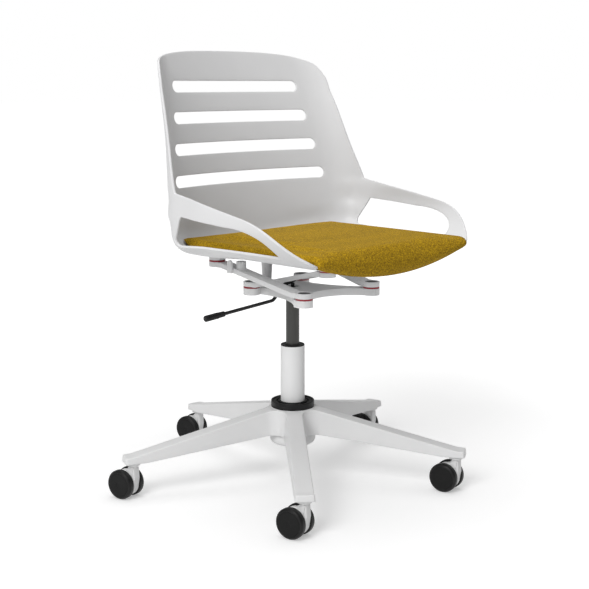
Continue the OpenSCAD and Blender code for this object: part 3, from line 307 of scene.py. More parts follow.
def soften(points, radii, steps=4, closed=False):
    """Points with the corners rounded; radii is one number or one for each point."""
    pts = [np.array(p, float) for p in points]
    n = len(pts)
    radii = [radii] * n if not hasattr(radii, "__len__") else radii
    out = []
    for i, (b, r) in enumerate(zip(pts, radii)):
        if r <= 0 or (not closed and i in (0, n - 1)):
            out.append(b)
            continue
        u, v = pts[i - 1] - b, pts[(i + 1) % n] - b
        lu, lv = np.linalg.norm(u), np.linalg.norm(v)
        u, v = u / lu, v / lv
        half = np.arccos(np.clip(u @ v, -1, 1)) / 2
        if half > 1.55:
            out.append(b)
            continue
        r = min(r, 0.49 * min(lu, lv) * np.tan(half))
        mid = b + (u + v) / np.linalg.norm(u + v) * r / sin(half)
        p, q = b + u * r / np.tan(half) - mid, b + v * r / np.tan(half) - mid
        turn = pi - 2 * half
        out += [mid + (p * sin(turn * (1 - k / steps)) + q * sin(turn * k / steps)) / sin(turn)
                for k in range(steps + 1)]
    return np.array(out)


def lathe(profile, steps=64):
    """(verts, faces) of the profile [(r, z), ...] turned round the Z axis; ends at r = 0 are closed."""
    angles = np.arange(steps) * 2 * pi / steps
    verts, faces, rings = [], [], []
    for r, z in profile:
        start = len(verts)
        if r < 1e-6:
            verts.append((0, 0, z))
            rings.append([start] * steps)
        else:
            verts += [(r * cos(a), r * sin(a), z) for a in angles]
            rings.append(list(range(start, start + steps)))
    for a, b in zip(rings, rings[1:]):
        for k in range(steps):
            j = (k + 1) % steps
            quad = [a[k], a[j], b[j], b[k]]
            face = [v for i, v in enumerate(quad) if v != quad[i - 1]]
            if len(face) > 2:
                faces.append(face)
    return verts, faces


def loft(rings, closed=True, caps=True):
    """(verts, faces) through rings of equally many points."""
    n = len(rings[0])
    verts = [tuple(p) for ring in rings for p in ring]
    span = n if closed else n - 1
    faces = [(i * n + j, i * n + (j + 1) % n, (i + 1) * n + (j + 1) % n, (i + 1) * n + j)
             for i in range(len(rings) - 1) for j in range(span)]
    if caps:
        faces += [tuple(range(n))[::-1], tuple(range((len(rings) - 1) * n, len(rings) * n))]
    return verts, faces


def inside(points, loop):
    """Which points lie inside the closed loop."""
    x, y = points[:, 0:1], points[:, 1:2]
    x0, y0 = loop[:, 0], loop[:, 1]
    x1, y1 = np.roll(x0, -1), np.roll(y0, -1)
    with np.errstate(divide="ignore", invalid="ignore"):
        cross = ((y0 > y) != (y1 > y)) & (x < (x1 - x0) * (y - y0) / (y1 - y0) + x0)
    return cross.sum(1) % 2 == 1


def area(loop):
    """Area of a closed 2D loop, negative if it runs clockwise."""
    return np.sum(loop[:, 0] * np.roll(loop[:, 1], -1) - np.roll(loop[:, 0], -1) * loop[:, 1]) / 2


def fill(outer, holes, grid, clear):
    """Triangles between outer and holes (2D loops), with the grid points that keep clear of them.
    Returns (points, triangles, loops as index lists: outer anticlockwise, holes clockwise)."""
    loops = [outer if area(outer) > 0 else outer[::-1]] + [h if area(h) < 0 else h[::-1] for h in holes]
    edge = np.concatenate(loops)
    near = np.array([np.min(np.hypot(*(edge - g).T)) for g in grid])
    keep = inside(grid, loops[0]) & (near > clear)
    for h in loops[1:]:
        keep &= ~inside(grid, h)
    points = np.concatenate([edge, grid[keep]])
    edges, index, start = [], [], 0
    for loop in loops:
        ids = list(range(start, start + len(loop)))
        index.append(ids)
        edges += list(zip(ids, ids[1:] + ids[:1]))
        start += len(loop)
    verts, _, tris, orig, _, _ = delaunay_2d_cdt([Vector(p) for p in points], edges, [], 0, 1e-6)
    back = [o[0] for o in orig]
    tris = np.array([[back[i] for i in t] for t in tris])
    mid = points[tris].mean(1)
    good = inside(mid, loops[0])
    for h in loops[1:]:
        good &= ~inside(mid, h)
    tris = tris[good]
    a, b, c = (points[tris[:, k]] for k in range(3))
    turn = (b - a)[:, 0] * (c - a)[:, 1] - (b - a)[:, 1] * (c - a)[:, 0]
    tris[turn < 0] = tris[turn < 0][:, ::-1]
    return points, tris, index


def vertex_normals(points, tris):
    """Unit normals at the points, from the triangles round them."""
    a, b, c = (points[tris[:, k]] for k in range(3))
    face = np.cross(b - a, c - a)
    out = np.zeros_like(points)
    for k in range(3):
        np.add.at(out, tris[:, k], face)
    return out / np.maximum(np.linalg.norm(out, axis=1), 1e-12)[:, None]


# ---------------------------------------------------------------- shell surface
def smooth(s):
    """0 to 1 with level ends, as s goes from 0 to 1."""
    c = np.clip(s, 0, 1)
    return c * c * (3 - 2 * c)


def lerp(a, b, s):
    return a + (b - a) * s


def back_line(z):
    """The y of the back's middle line at height z."""
    return BACK_Y + BACK_LEAN * (z - BACK_REF_Z) + (z - BACK_REF_Z) ** 2 / (2 * BACK_ARC_R)


def section(y, z):
    """Half width, corner radius, dish end, sine and cosine there, its depth, dish radius."""
    wide = np.maximum(smooth((z - WIDTH_BLEND[0]) / WIDTH_BLEND[1]),
                      smooth((y - WIDTH_BLEND[2]) / WIDTH_BLEND[3]))
    w = lerp(SEAT_HALF_W, BACK_HALF_W, wide) - BACK_TAPER * np.maximum(0, z - TAPER_Z)
    w = w + TOP_WIDEN * smooth((z - TOP_WIDEN_Z) / TOP_WIDEN_H)
    w = w - WAIST * np.exp(-((y - WAIST_AT[0]) / WAIST_REACH) ** 2 - ((z - WAIST_AT[1]) / WAIST_REACH) ** 2)
    low = smooth((y - LOW_BLEND[0]) / LOW_BLEND[1]) * (1 - smooth((z - LOW_BLEND[2]) / LOW_BLEND[3]))
    upper = lerp(SEAT_CORNER_R, BACK_CORNER_R, smooth((y - CORNER_BLEND[0]) / CORNER_BLEND[1]))
    r = lerp(upper, REAR_CORNER_R, low)
    dish = lerp(DISH_R, REAR_DISH_R, low)
    x = w - r
    for _ in range(6):
        x = w - r * (1 - x / np.hypot(x, dish))
    long = np.hypot(x, dish)
    return w, r, x, x / long, dish / long, x * x / (2 * dish), dish


def section_x(s, d):
    """Half width at depth d of the section s."""
    w, r, x, sn, cs, deep, dish = s
    c = cs - (d - deep) / r
    arc = x + r * (np.sqrt(np.maximum(0, 1 - np.clip(c, 0, 1) ** 2)) - sn)
    outer = np.where(c <= 0, w, arc)
    return np.where(d <= 0, 0, np.where(d < deep, np.sqrt(2 * dish * np.maximum(d, 0)), outer))


def section_depth(s, share, end):
    """Depth at a share of the way from the middle to depth end, along the section s."""
    w, r, x, sn, cs, deep, dish = s
    reach = np.minimum(x, np.sqrt(2 * dish * end))
    start = np.arcsin(sn)
    stop = np.arccos(np.minimum(cs, np.maximum(0, cs - (end - deep) / r)))
    arc = r * (stop - start)
    wall = np.maximum(0, end - deep - r * cs)
    a = share * (reach + arc + wall)
    on_arc = deep + r * (cs - np.cos(start + (a - reach) / r))
    on_wall = np.minimum(end, deep + r * cs + a - reach - arc)
    return np.where((a < reach) | (reach < x), a * a / (2 * dish), np.where(a < reach + arc, on_arc, on_wall))


def depth_at(y, z):
    """Depth of a point (y, z) inside the seat and back lines, which meet in a round bend."""
    up, ahead = z - PAN_Z, back_line(z) - y
    off = up - ahead
    bend = (up + ahead + np.sqrt(np.maximum(0, 2 * BEND_R ** 2 - off * off))) / 2 - BEND_R
    return np.where(np.abs(off) < BEND_R, bend, np.minimum(up, ahead))


def centre_line(t, inset):
    """(y, z) of the middle of row t; the first and last row lie inset mm in from the rim."""
    bend_cz = PAN_Z + BEND_R
    angle = pi / 2 * (2 - np.clip(t, 1, 2))
    z_bend = bend_cz - BEND_R * np.sin(angle)
    z_back = lerp(bend_cz, BACK_TOP_Z - inset, np.maximum(0, t - 2))
    y_seat = lerp(inset - PAN_FRONT, back_line(PAN_Z) - BEND_R, t)
    y_bend = back_line(z_bend) - BEND_R * (1 - np.cos(angle))
    y = np.where(t <= 1, y_seat, np.where(t <= 2, y_bend, back_line(z_back)))
    return y, np.where(t <= 1, PAN_Z, np.where(t <= 2, z_bend, z_back))


def raw_edge(t):
    """(y, z) of the side edge at row t: arm curve, straight to the joint, side of the back."""
    s = np.clip(t / KNEE_ROW, 0, 1)
    p = [[lerp(TIP[k], KNEE[k], share[k]) for k in (0, 1)] for share in ARM_SHARES]
    weights = ((1 - s) ** 3, 3 * s * (1 - s) ** 2, 3 * s * s * (1 - s), s ** 3)
    arm = [sum(w * q for w, q in zip(weights, (TIP[k], p[0][k], p[1][k], KNEE[k]))) for k in (0, 1)]
    a = np.where(t <= 1, BEND_ROW * (t - KNEE_ROW) / (1 - KNEE_ROW),
                 lerp(BEND_ROW, 1, np.clip(t - 1, 0, 0.5) * 2))
    b = np.clip(np.where(t <= 2, SIDE_START * (t - 1.5) * 2, lerp(SIDE_START, 1, t - 2)), 0, 1)
    z = lerp(JOINT[1], BACK_SIDE_Z, b)
    side = (back_line(z) - lerp(back_line(JOINT[1]) - JOINT[0], BACK_SIDE_DEPTH, b)
            + SIDE_BOW * np.sin(2 * pi * b))
    s = np.clip((b - TOP_SWELL_FROM) / (1 - TOP_SWELL_FROM), 0, 1)
    peak = 6.75  # s * s * (1 - s) is at most 1 / peak
    side = side - TOP_SWELL * peak * s * s * (1 - s)
    upper = [np.where(t <= 1.5, lerp(KNEE[k], JOINT[k], a), (side, z)[k]) for k in (0, 1)]
    return [np.where(t <= KNEE_ROW, arm[k], upper[k]) for k in (0, 1)]


EDGE_T = np.linspace(0, 3, EDGE_SAMPLES)


def edge_table(inset):
    """The side edge, its corners eased, moved inset mm into the wall."""
    y, z = raw_edge(EDGE_T)
    kernel = np.ones(2 * EDGE_EASE + 1) / (2 * EDGE_EASE + 1)
    y, z = (np.convolve(np.pad(v, EDGE_EASE, mode="reflect", reflect_type="odd"), kernel, "valid")
            for v in (y, z))
    dy, dz = np.gradient(y), np.gradient(z)
    long = np.hypot(dy, dz)
    return y + inset * dz / long, z - inset * dy / long


EDGE = {inset: edge_table(inset) for inset in (0.0, RIM_R)}


def wall_point(u, t, inset=RIM_R):
    """Points of the middle surface at share u across (-1 to 1) and row t (0 to 3)."""
    u, t = np.broadcast_arrays(np.asarray(u, float), np.asarray(t, float))
    ey, ez = (np.interp(t, EDGE_T, v) for v in EDGE[inset])
    s, end = section(ey, ez), depth_at(ey, ez)
    q = section_depth(s, np.abs(u), end) / end
    x_share = np.clip(section_x(s, q * end) / section_x(s, end), 0, 1)
    rise = lerp(1 - q, np.maximum(0, 1 - x_share ** TOP_POWER) ** (1 / TOP_POWER), np.maximum(0, t - 2) ** 2)
    cy, cz = centre_line(t, inset)
    z = lerp(ez, cz, rise)
    py = np.where(t <= 2, lerp(cy, ey, q), back_line(z) - q * end)
    pz = np.where(t <= 2, lerp(cz, ez, q), z)
    x = section_x(section(py, pz), depth_at(py, pz))
    return np.stack([np.sign(u) * x, py, pz], -1)


def rows_of(targets, axes):
    """(u, t) of the wall points on the +X side whose coordinates axes are the targets.
    Newton's method from the nearest of a grid of points."""
    gu, gt = (v.ravel() for v in np.meshgrid(np.linspace(0.02, 0.98, 60), np.linspace(0.02, 2.98, 120)))
    gp = wall_point(gu, gt)[:, axes]
    near = np.array([np.argmin(((gp - p) ** 2).sum(1)) for p in targets])
    u, t = gu[near], gt[near]
    h = 1e-4
    for _ in range(14):
        p = wall_point(u, t)[:, axes]
        du = (wall_point(u + h, t)[:, axes] - p) / h
        dt = (wall_point(u, t + h)[:, axes] - p) / h
        miss = targets - p
        det = du[:, 0] * dt[:, 1] - du[:, 1] * dt[:, 0]
        u = np.clip(u + np.clip((miss[:, 0] * dt[:, 1] - miss[:, 1] * dt[:, 0]) / det, -0.1, 0.1), 0, 0.995)
        t = np.clip(t + np.clip((du[:, 0] * miss[:, 1] - du[:, 1] * miss[:, 0]) / det, -0.1, 0.1), 0, 2.995)
    return u, t


def dense(loop, step):
    """The closed loop with points added so that none are further than step apart."""
    out = []
    for a, b in zip(loop, np.roll(loop, -1, 0)):
        n = max(1, int(np.ceil(np.hypot(*(b - a)) / step)))
        out += [a + (b - a) * k / n for k in range(n)]
    return np.array(out)


def grown(loop, by):
    """The closed 2D loop moved outwards by that much."""
    nxt, prv = np.roll(loop, -1, 0), np.roll(loop, 1, 0)
    tangent = nxt - prv
    normal = np.stack([tangent[:, 1], -tangent[:, 0]], 1) / np.hypot(*tangent.T)[:, None]
    return loop + by * normal * (1 if area(loop) > 0 else -1)


def window_loop():
    """Window outline in the side view, (y, z)."""
    reach, rise = WINDOW_CURVE
    power, steps = 2 / WINDOW_POWER, 20
    cy = reach - WINDOW_FRONT_Y
    curve = [(cy - reach * cos(a) ** power, WINDOW_LOW_Z + rise * sin(a) ** power)
             for a in np.linspace(0, pi / 2, steps)]
    corners = [(WINDOW_REAR_Y, WINDOW_TOP_Z), (WINDOW_HEEL_Y, WINDOW_LOW_Z)]
    front_r, top_r, heel_r = 3.0, 6.0, 10.0
    loop = soften(curve + corners, [front_r] + [0] * (steps - 1) + [top_r, heel_r], 6, closed=True)
    return dense(loop, 5.0)


def slot_loop(k):
    """Slot outline seen from the front, (x, z)."""
    r, half = SLOT_H / 2, SLOT_HALF_W - k * SLOT_STEP - SLOT_H / 2
    z = SLOT_Z + k * SLOT_PITCH
    ends = [(sign * (half + r * cos(a)), z + sign * r * sin(a))
            for sign in (1, -1) for a in np.linspace(-pi / 2, pi / 2, 15)]
    return dense(np.array(ends), 6.0)


def stretch(u, t):
    """Rows and columns as roughly equal lengths, for even triangles."""
    bend_end = SEAT_SPAN + BEND_SPAN
    upper = np.where(t < 2, SEAT_SPAN + BEND_SPAN * (t - 1), bend_end + BACK_SPAN * (t - 2))
    return np.stack([u * HALF_SPAN, np.where(t < 1, SEAT_SPAN * t, upper)], -1)


def unstretch(p):
    """(u, t) of what stretch gave."""
    v, bend_end = p[:, 1], SEAT_SPAN + BEND_SPAN
    upper = np.where(v < bend_end, 1 + (v - SEAT_SPAN) / BEND_SPAN, 2 + (v - bend_end) / BACK_SPAN)
    return p[:, 0] / HALF_SPAN, np.where(v < SEAT_SPAN, v / SEAT_SPAN, upper)


def shell_wall():
    """(verts, faces) of the wall, and the BVH trees of its underside and its upper side."""
    h = 1e-3
    corner = wall_point(1 - h, h)
    lu = np.linalg.norm(wall_point(1, h) - corner) / h
    lt = np.linalg.norm(wall_point(1 - h, 2 * h) - corner) / h
    arc = [(1 - (TIP_R - TIP_R * cos(a)) / lu, (TIP_R - TIP_R * sin(a)) / lt)
           for a in np.linspace(0, pi / 2, 8)]
    du, dt = TOP_CORNER
    bend = [(1 - du * (1 - cos(a)), 3 - dt * (1 - sin(a))) for a in np.linspace(pi / 2, 0, 7)]
    side = bend + [(1, t) for t in np.linspace(3 - dt, TIP_R / lt, 185)[1:-1]]
    front = [(u, 0) for u in np.linspace(1 - TIP_R / lu, 0, 45)[1:-1]]
    top = [(u, 3) for u in 1 - du - (1 - du) * np.linspace(1, 0, 50)[:-1] ** 1.6]
    right = np.array(top + side + arc + front)
    half = np.concatenate([[(0, 3)], right[right[:, 0] > 0], [(0, 0)]])
    outer = np.concatenate([half, (half[1:-1] * (-1, 1))[::-1]])
    holes = []
    window = grown(window_loop(), RIM_R)
    u, t = rows_of(window, [1, 2])
    holes += [np.stack([s * u, t], 1) for s in (1, -1)]
    for k in range(4):
        slot = grown(slot_loop(k), RIM_R)
        u, t = rows_of(np.stack([np.abs(slot[:, 0]), slot[:, 1]], 1), [0, 2])
        holes.append(np.stack([np.sign(slot[:, 0]) * u, t], 1))
    across = np.linspace(4 - HALF_SPAN, HALF_SPAN - 4, 86)
    along = np.linspace(3, SEAT_SPAN + BEND_SPAN + BACK_SPAN - 3, 132)
    grid = np.stack([v.ravel() for v in np.meshgrid(across, along)], 1)
    points, tris, loops = fill(stretch(*outer.T), [stretch(*hole.T) for hole in holes], grid, 3.2)
    mid = wall_point(*unstretch(points))
    normals = vertex_normals(mid, tris)
    n = len(mid)
    verts = [mid + normals * SHELL_T / 2, mid - normals * SHELL_T / 2]
    faces = [tuple(t) for t in tris] + [tuple(t[::-1] + n) for t in tris]
    flat = SHELL_T / 2 - RIM_R
    round_off = [(RIM_R * sin(a), flat + RIM_R * cos(a)) for a in np.linspace(0, pi / 2, 5)]
    profile = round_off[1:] + [(x, -z) for x, z in round_off[::-1][:-1]]
    start = 2 * n
    for ids in loops:
        p, nor = mid[ids], normals[ids]
        along = np.roll(p, -1, 0) - np.roll(p, 1, 0)
        out = np.cross(along, nor)
        out /= np.linalg.norm(out, axis=1)[:, None]
        m = len(ids)
        for x, z in profile:
            verts.append(p + out * x + nor * z)
        between = [[start + k * m + j for j in range(m)] for k in range(len(profile))]
        rows = [ids] + between + [[i + n for i in ids]]
        start += m * len(profile)
        for a, b in zip(rows, rows[1:]):
            faces += [(a[j], b[j], b[(j + 1) % m], a[(j + 1) % m]) for j in range(m)]
    verts = np.concatenate(verts)
    under = BVHTree.FromPolygons([tuple(v) for v in verts[n:2 * n]], [tuple(t) for t in tris])
    over = BVHTree.FromPolygons([tuple(v) for v in verts[:n]], [tuple(t) for t in tris])
    return (verts, faces), under, over


def height_on(tree, x, y, start=400.0, up=1):
    """The z at which a ray up or down from start meets the tree, or None."""
    hit = tree.ray_cast(Vector((x, y, start)), Vector((0, 0, up)))[0]
    return hit.z if hit else None


def boss(x, y, low_z, r, flare, under, r_top=None, steps=48):
    """Boss from low_z up into the wall, with a fillet of up to flare under it."""
    around = np.arange(steps) * 2 * pi / steps
    profile = [(0.0, 0.0), (0.94, 0.0), (1.0, 0.02)]
    rings = [[(x + share * r * cos(a), y + share * r * sin(a), low_z + rise * r) for a in around]
             for share, rise in profile]
    r_top = r if r_top is None else r_top
    for k in range(9):
        turn = pi / 2 * k / 8
        ring = []
        for a in around:
            here = height_on(under, x + r_top * cos(a), y + r_top * sin(a))
            f = max(0.0, min(flare, 0.85 * (here - low_z - 0.5)))
            rr = r_top + f * (1 - cos(turn))
            px, py = x + rr * cos(a), y + rr * sin(a)
            into_wall = height_on(under, px, py) - f * (1 - sin(turn)) + 0.6 * turn
            ring.append((px, py, max(low_z + 0.4, into_wall)))
        rings.append(ring)
    return loft(rings)


shell_mesh, shell_under, shell_over = shell_wall()
bosses = [boss(s * x, y, BOSS_LOW_Z, PIVOT_R, BOSS_FLARE, shell_under)
          for s in (-1, 1) for x, y in (FRONT_HIGH, REAR_HIGH)]
post = boss(0, POST_Y, POST_FOOT_Z, POST_R, POST_FLARE, shell_under, POST_R + POST_SPREAD)
shell = new_piece("shell_form", *join(shell_mesh, *bosses, post), WHITE_SHELL, "seat", sharp=50)
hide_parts("shell")


# ---------------------------------------------------------------- cushion
def cushion_form():
    """Closed form of the pad: crowned top, rounded sides, nose over the front edge."""
    columns, tops = 84, 54
    nose_y = -PAN_FRONT + NOSE_BACK
    rings = []
    for i in range(columns + 1):
        share = 2 * i / columns - 1
        x = CUSHION_HALF_W * share * (1.06 - 0.06 * share * share)
        x = max(-CUSHION_HALF_W, min(CUSHION_HALF_W, x))
        inset = max(0, abs(x) - CUSHION_HALF_W + CUSHION_EDGE) / CUSHION_EDGE
        draw = sqrt(max(0.06, 1 - inset ** 3.5))
        rear = CUSHION_REAR_Y - 3 * inset ** 2
        nose = -PAN_FRONT - CUSHION_NOSE * (0.25 + 0.75 * draw)

        def seat(y):
            z = height_on(shell_over, x, min(max(y, -PAN_FRONT + 3), rear), 700.0, -1)
            return (z if z is not None and z < PAN_LIMIT_Z else PAN_Z) + PAN_GAP

        def top(y):
            v = (rear - y) / (rear + PAN_FRONT - NOSE_BACK)
            crown = CUSHION_CROWN * (1 - abs(x / CUSHION_HALF_W) ** 4) * sin(pi * min(1, max(0, v)))
            return max(seat(y) + CUSHION_MIN, lerp(CUSHION_REAR_Z, CUSHION_FRONT_Z, v) + crown)

        over, under = [], []
        for y in [lerp(rear, nose_y, k / tops) for k in range(tops + 1)]:
            low, high = seat(y), top(y)
            mid = (low + high) / 2
            end = min(1, (rear - y) / REAR_ROUND)
            swell = draw * sqrt(max(0.03, 1 - (1 - end) ** 2))
            over.append((x, y, mid + (high - mid) * swell))
            under.append((x, y, mid + (low - mid) * swell))
        high, lip = top(nose_y), seat(nose_y) - LIP_DROP
        mid = (lip + high) / 2
        bow = []
        for a in np.linspace(0, radians(150), 12)[1:]:
            z = lerp(mid, high, cos(a) * draw) if a < pi / 2 else lerp(mid, lip, -cos(a) * draw)
            bow.append((x, nose_y - (nose_y - nose) * sin(a), z))
        rings.append(over + bow + [(x, -PAN_FRONT - 0.8, lip + 1.0 * draw)] + under[::-1])
    return loft(rings)


def swelled(form):
    """The form filled by Blender's Cloth under pressure; its underside stays where it rests."""
    soft = form.copy()
    soft.data = form.data.copy()
    bpy.context.scene.collection.objects.link(soft)
    start = np.array([v.co for v in soft.data.vertices]) / MM
    normals = np.array([v.normal for v in soft.data.vertices])
    cloth = soft.modifiers.new("fill", "CLOTH")
    cloth.settings.use_pressure = True
    cloth.settings.uniform_pressure_force = PRESSURE
    cloth.settings.effector_weights.gravity = 0
    cloth.settings.quality = 6
    cloth.point_cache.frame_end = SIM_FRAMES
    scene = bpy.context.scene
    for step in range(1, SIM_FRAMES + 1):
        scene.frame_set(step)
    done = bpy.data.meshes.new_from_object(soft.evaluated_get(bpy.context.evaluated_depsgraph_get()))
    move = np.array([v.co for v in done.vertices]) / MM - start
    scene.frame_set(1)
    soft.modifiers.clear()
    far = np.linalg.norm(move, axis=1)
    move *= np.minimum(1, SWELL / np.maximum(far, 1e-9))[:, None]
    # Only what faces up moves, and less near the side and rear borders
    side = (smooth((CUSHION_HALF_W - np.abs(start[:, 0])) / EASE)
            * smooth((CUSHION_REAR_Y - start[:, 1]) / EASE))
    free = smooth((normals[:, 2] + 0.1) / 0.6) * side
    points = start + move * free[:, None]
    faces = [tuple(p.vertices) for p in soft.data.polygons]
    bpy.data.objects.remove(soft)
    return points, faces


cushion = new_piece("seat_cushion", *cushion_form(), CLOTH, "seat", sharp=70)
points, faces = swelled(cushion)
bpy.data.objects.remove(cushion)
cushion = new_piece("seat_cushion", points, faces, CLOTH, "seat", sharp=75)
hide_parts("cushion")


# ---------------------------------------------------------------- base
def turned(points, angle):
    """The 2D points turned by the angle in degrees."""
    a = radians(angle)
    return np.asarray(points) @ np.array([[cos(a), sin(a)], [-sin(a), cos(a)]])


def star_outline(fillet=WEB_FILLET):
    """Plan outline of the five arms with filleted webs, anticlockwise, as 2D points."""
    root, tip = ARM_ROOT_W / 2, ARM_TIP_W / 2
    m = (tip - root) / (STAR_R - HUB_R)
    half = radians(36)
    d = (fillet * sqrt(1 + m * m) + root - m * HUB_R) / (sin(half) - m * cos(half))
    centre = np.array([d * cos(half), d * sin(half)])
    normal = np.array([m, -1]) / sqrt(1 + m * m)
    foot = centre + normal * fillet
    a0 = atan2(*(foot - centre)[::-1])
    a1 = 2 * (half + pi) - a0
    while a1 > a0:
        a1 -= 2 * pi
    arc = [centre + fillet * np.array([cos(a), sin(a)]) for a in np.linspace(a0, a1, 17)]
    end = STAR_R + tip
    bow = [np.array([end + TIP_BOW * (1 - (k / 4) ** 2), tip * k / 4]) for k in (-2, 0, 2)]
    corners = [np.array([STAR_R, -tip]), (end, -tip), *bow, (end, tip), (STAR_R, tip)]
    tip_arc = list(soften(corners, [0, ARM_CORNER_R, 0, 0, 0, ARM_CORNER_R, 0], 6))
    left = [lerp(tip_arc[-1], foot, k / 30) for k in range(1, 30)]
    right = [p * (1, -1) for p in left[::-1]]
    arm = right + tip_arc + left + arc
    return np.concatenate([turned(arm, STAR_TURN + 72 * k) for k in range(5)])


def arm_top(r):
    """Top of the arms at radius r, level over the hub and at the tips."""
    slope = lerp(HUB_TOP_Z, ARM_LOW_Z + ARM_TIP_H, (r - HUB_R) / (STAR_R - HUB_R))
    return np.maximum(np.minimum(HUB_TOP_Z - 0.4, slope), ARM_LOW_Z + ARM_TIP_H - 1)


def arm_low(r):
    """Underside of the arms at radius r, level near the tips."""
    rise = lerp(HUB_TOP_Z - ARM_ROOT_H, ARM_LOW_Z, (r - HUB_R) / (STAR_R - ARM_LEVEL_END - HUB_R))
    return np.maximum(ARM_LOW_Z, rise)


def star_form():
    """(verts, faces) of the arms with rounded edges, and of the hub's barrel."""
    loop = star_outline()
    tangent = np.roll(loop, -1, 0) - np.roll(loop, 1, 0)
    normal = np.stack([tangent[:, 1], -tangent[:, 0]], 1) / np.hypot(*tangent.T)[:, None]
    edge, foot = ARM_EDGE, ARM_FOOT_EDGE
    sides = [(0, foot * (1 - sin(a)), foot * (1 - cos(a)), 0) for a in np.linspace(0, pi / 2, 4)]
    sides += [(s, 0, 0, s) for s in (0.35, 0.7)]
    sides += [(1, edge * (1 - cos(a)), -edge * (1 - sin(a)), 1) for a in np.linspace(0, pi / 2, 7)]
    r = np.hypot(*loop.T)
    draft = ARM_DRAFT * (arm_top(r) - arm_low(r))
    rings = []
    for leaning, a, dz, share in sides:
        p = loop - normal * (a + leaning * draft)[:, None]
        r = np.hypot(*p.T)
        rings.append(np.stack([*p.T, lerp(arm_low(r), arm_top(r), share) + dz], 1))
    verts, faces = loft(rings, caps=False)
    parts = [(verts, faces)]
    reach, pitch, bore = 370, 7.0, TUBE_R + 0.5
    ticks = np.arange(-reach, reach + 1, pitch)
    grid = np.stack([v.ravel() for v in np.meshgrid(ticks, ticks)], 1)
    hole = np.array([(bore * cos(a), bore * sin(a)) for a in np.arange(48) * 2 * pi / 48])
    for ring, height, flip in ((rings[-1], arm_top, False), (rings[0], arm_low, True)):
        points, tris, _ = fill(ring[:, :2], [hole], grid, 3.0)
        z = height(np.hypot(*points.T))
        parts.append((np.concatenate([points, z[:, None]], 1), [t[::-1] if flip else t for t in tris]))
    low, bore = HUB_TOP_Z - HUB_H, TUBE_R + FIT
    barrel = [(bore, low), (HUB_R + HUB_FLARE, low), (HUB_R + 0.6 * HUB_FLARE, low + 30),
              (HUB_R, HUB_TOP_Z), (bore, HUB_TOP_Z), (bore, low)]
    parts.append(lathe(soften(barrel, [0, 11, 0, 0.8, 0, 0], 6), 96))
    return join(*parts)


def weld(obj, distance=0.01):
    """Merge points that are closer than distance mm."""
    bm = bmesh.new()
    bm.from_mesh(obj.data)
    bmesh.ops.remove_doubles(bm, verts=bm.verts, dist=distance * MM)
    bm.to_mesh(obj.data)
    bm.free()
    obj.data.set_sharp_from_angle(angle=radians(32))
    obj.data.update()


star = new_piece("base_star_form", *star_form(), WHITE_BASE, "base", sharp=32)
weld(star)
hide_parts("base_star")

low, top, bore = HUB_TOP_Z, HUB_TOP_Z + COVER_H, TUBE_R + FIT
cover_profile = soften(
    [(bore, low), (COVER_R, low), (COVER_R, top), (41.5, top), (41, top - 2.2), (34.5, top - 2.2),
     (34, top - 5), (30.5, top - 5), (30, top - 0.8), (bore, top - 0.8)],
    [0, 0.5, 1.4, 0.6, 0.5, 0.5, 0.5, 0.5, 0.8, 0], 4)
cover = new_piece("hub_cover", *lathe(cover_profile, 96), BLACK_PLASTIC, "base")
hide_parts("hub_cover_ring")

inner, low, top = TUBE_R - TUBE_WALL, TUBE_LOW_Z, TUBE_TOP_Z
tube_profile = soften([(inner, top), (inner, low), (TUBE_R, low), (TUBE_R, top), (inner, top)],
                      [0, 0.6, 0.6, 0.6, 0], 4)
tube = new_piece("outer_tube", *lathe(tube_profile, 96), WHITE_PAINT, "base")
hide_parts("column_tube")

collar_profile = soften(
    [(INNER_R + FIT, top), (TUBE_R - 0.3, top), (TUBE_R - 0.3, top + 2.5), (TUBE_R - 3, top + 2.5),
     (TUBE_R - 4, top + 1.6), (INNER_R + 3, top + 1.2), (INNER_R + 2, top + 2.4), (INNER_R + FIT, top + 2.4)],
    [0, 0.3, 0.9, 0.4, 0.4, 0.4, 0.5, 0], 4)
collar = new_piece("tube_collar", *lathe(collar_profile, 96), BLACK_PLASTIC, "base")
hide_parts("column_top_collar")


# ---------------------------------------------------------------- casters
def slab(outline, width, edge, steps=4):
    """(verts, faces) of a closed (y, z) outline as thick as width along X, its rims rounded."""
    levels = [(edge * (1 - sin(a)), -width / 2 + edge * (1 - cos(a)))
              for a in np.linspace(0, pi / 2, steps + 1)]
    levels += [(inset, -x) for inset, x in levels[::-1]]
    loop = np.asarray(outline, float)
    loop = loop if area(loop) > 0 else loop[::-1]
    rings = [[(x, *p) for p in grown(loop, -inset)] for inset, x in levels]
    return loft(rings)


def caster_body():
    """White body between the wheels, with its neck and collar; stem on the Z axis."""
    r = WHEEL_R - 3

    def round_axle(first, last, steps):
        return [(CASTER_TRAIL + r * cos(a), WHEEL_R + r * sin(a))
                for a in np.linspace(radians(first), radians(last), steps)]

    neck = [(9.0, 61.5), (8.0, 66.0), (-8.0, 66.0), (-9.5, 44.0)]
    radii = [2] + [0] * 24 + [3, 3, 1.5, 1.5, 6] + [0] * 7 + [2]
    outline = soften(round_axle(-50, 86, 26) + neck + round_axle(196, 232, 8), radii, 4, closed=True)
    body = slab(outline, WHEEL_GAP - 0.8, 2.2)
    disc, top = ARM_LOW_Z - 1.3, ARM_LOW_Z - 0.1
    stem = [(0, 58), (8.2, 58), (8.2, disc - 4.6), (14.6, disc - 4.4), (14.6, disc), (6.5, disc),
            (6.5, top), (0, top)]
    return join(body, lathe(soften(stem, [0, 0, 0.6, 1.2, 1.2, 0.3, 0, 0], 4), 48))


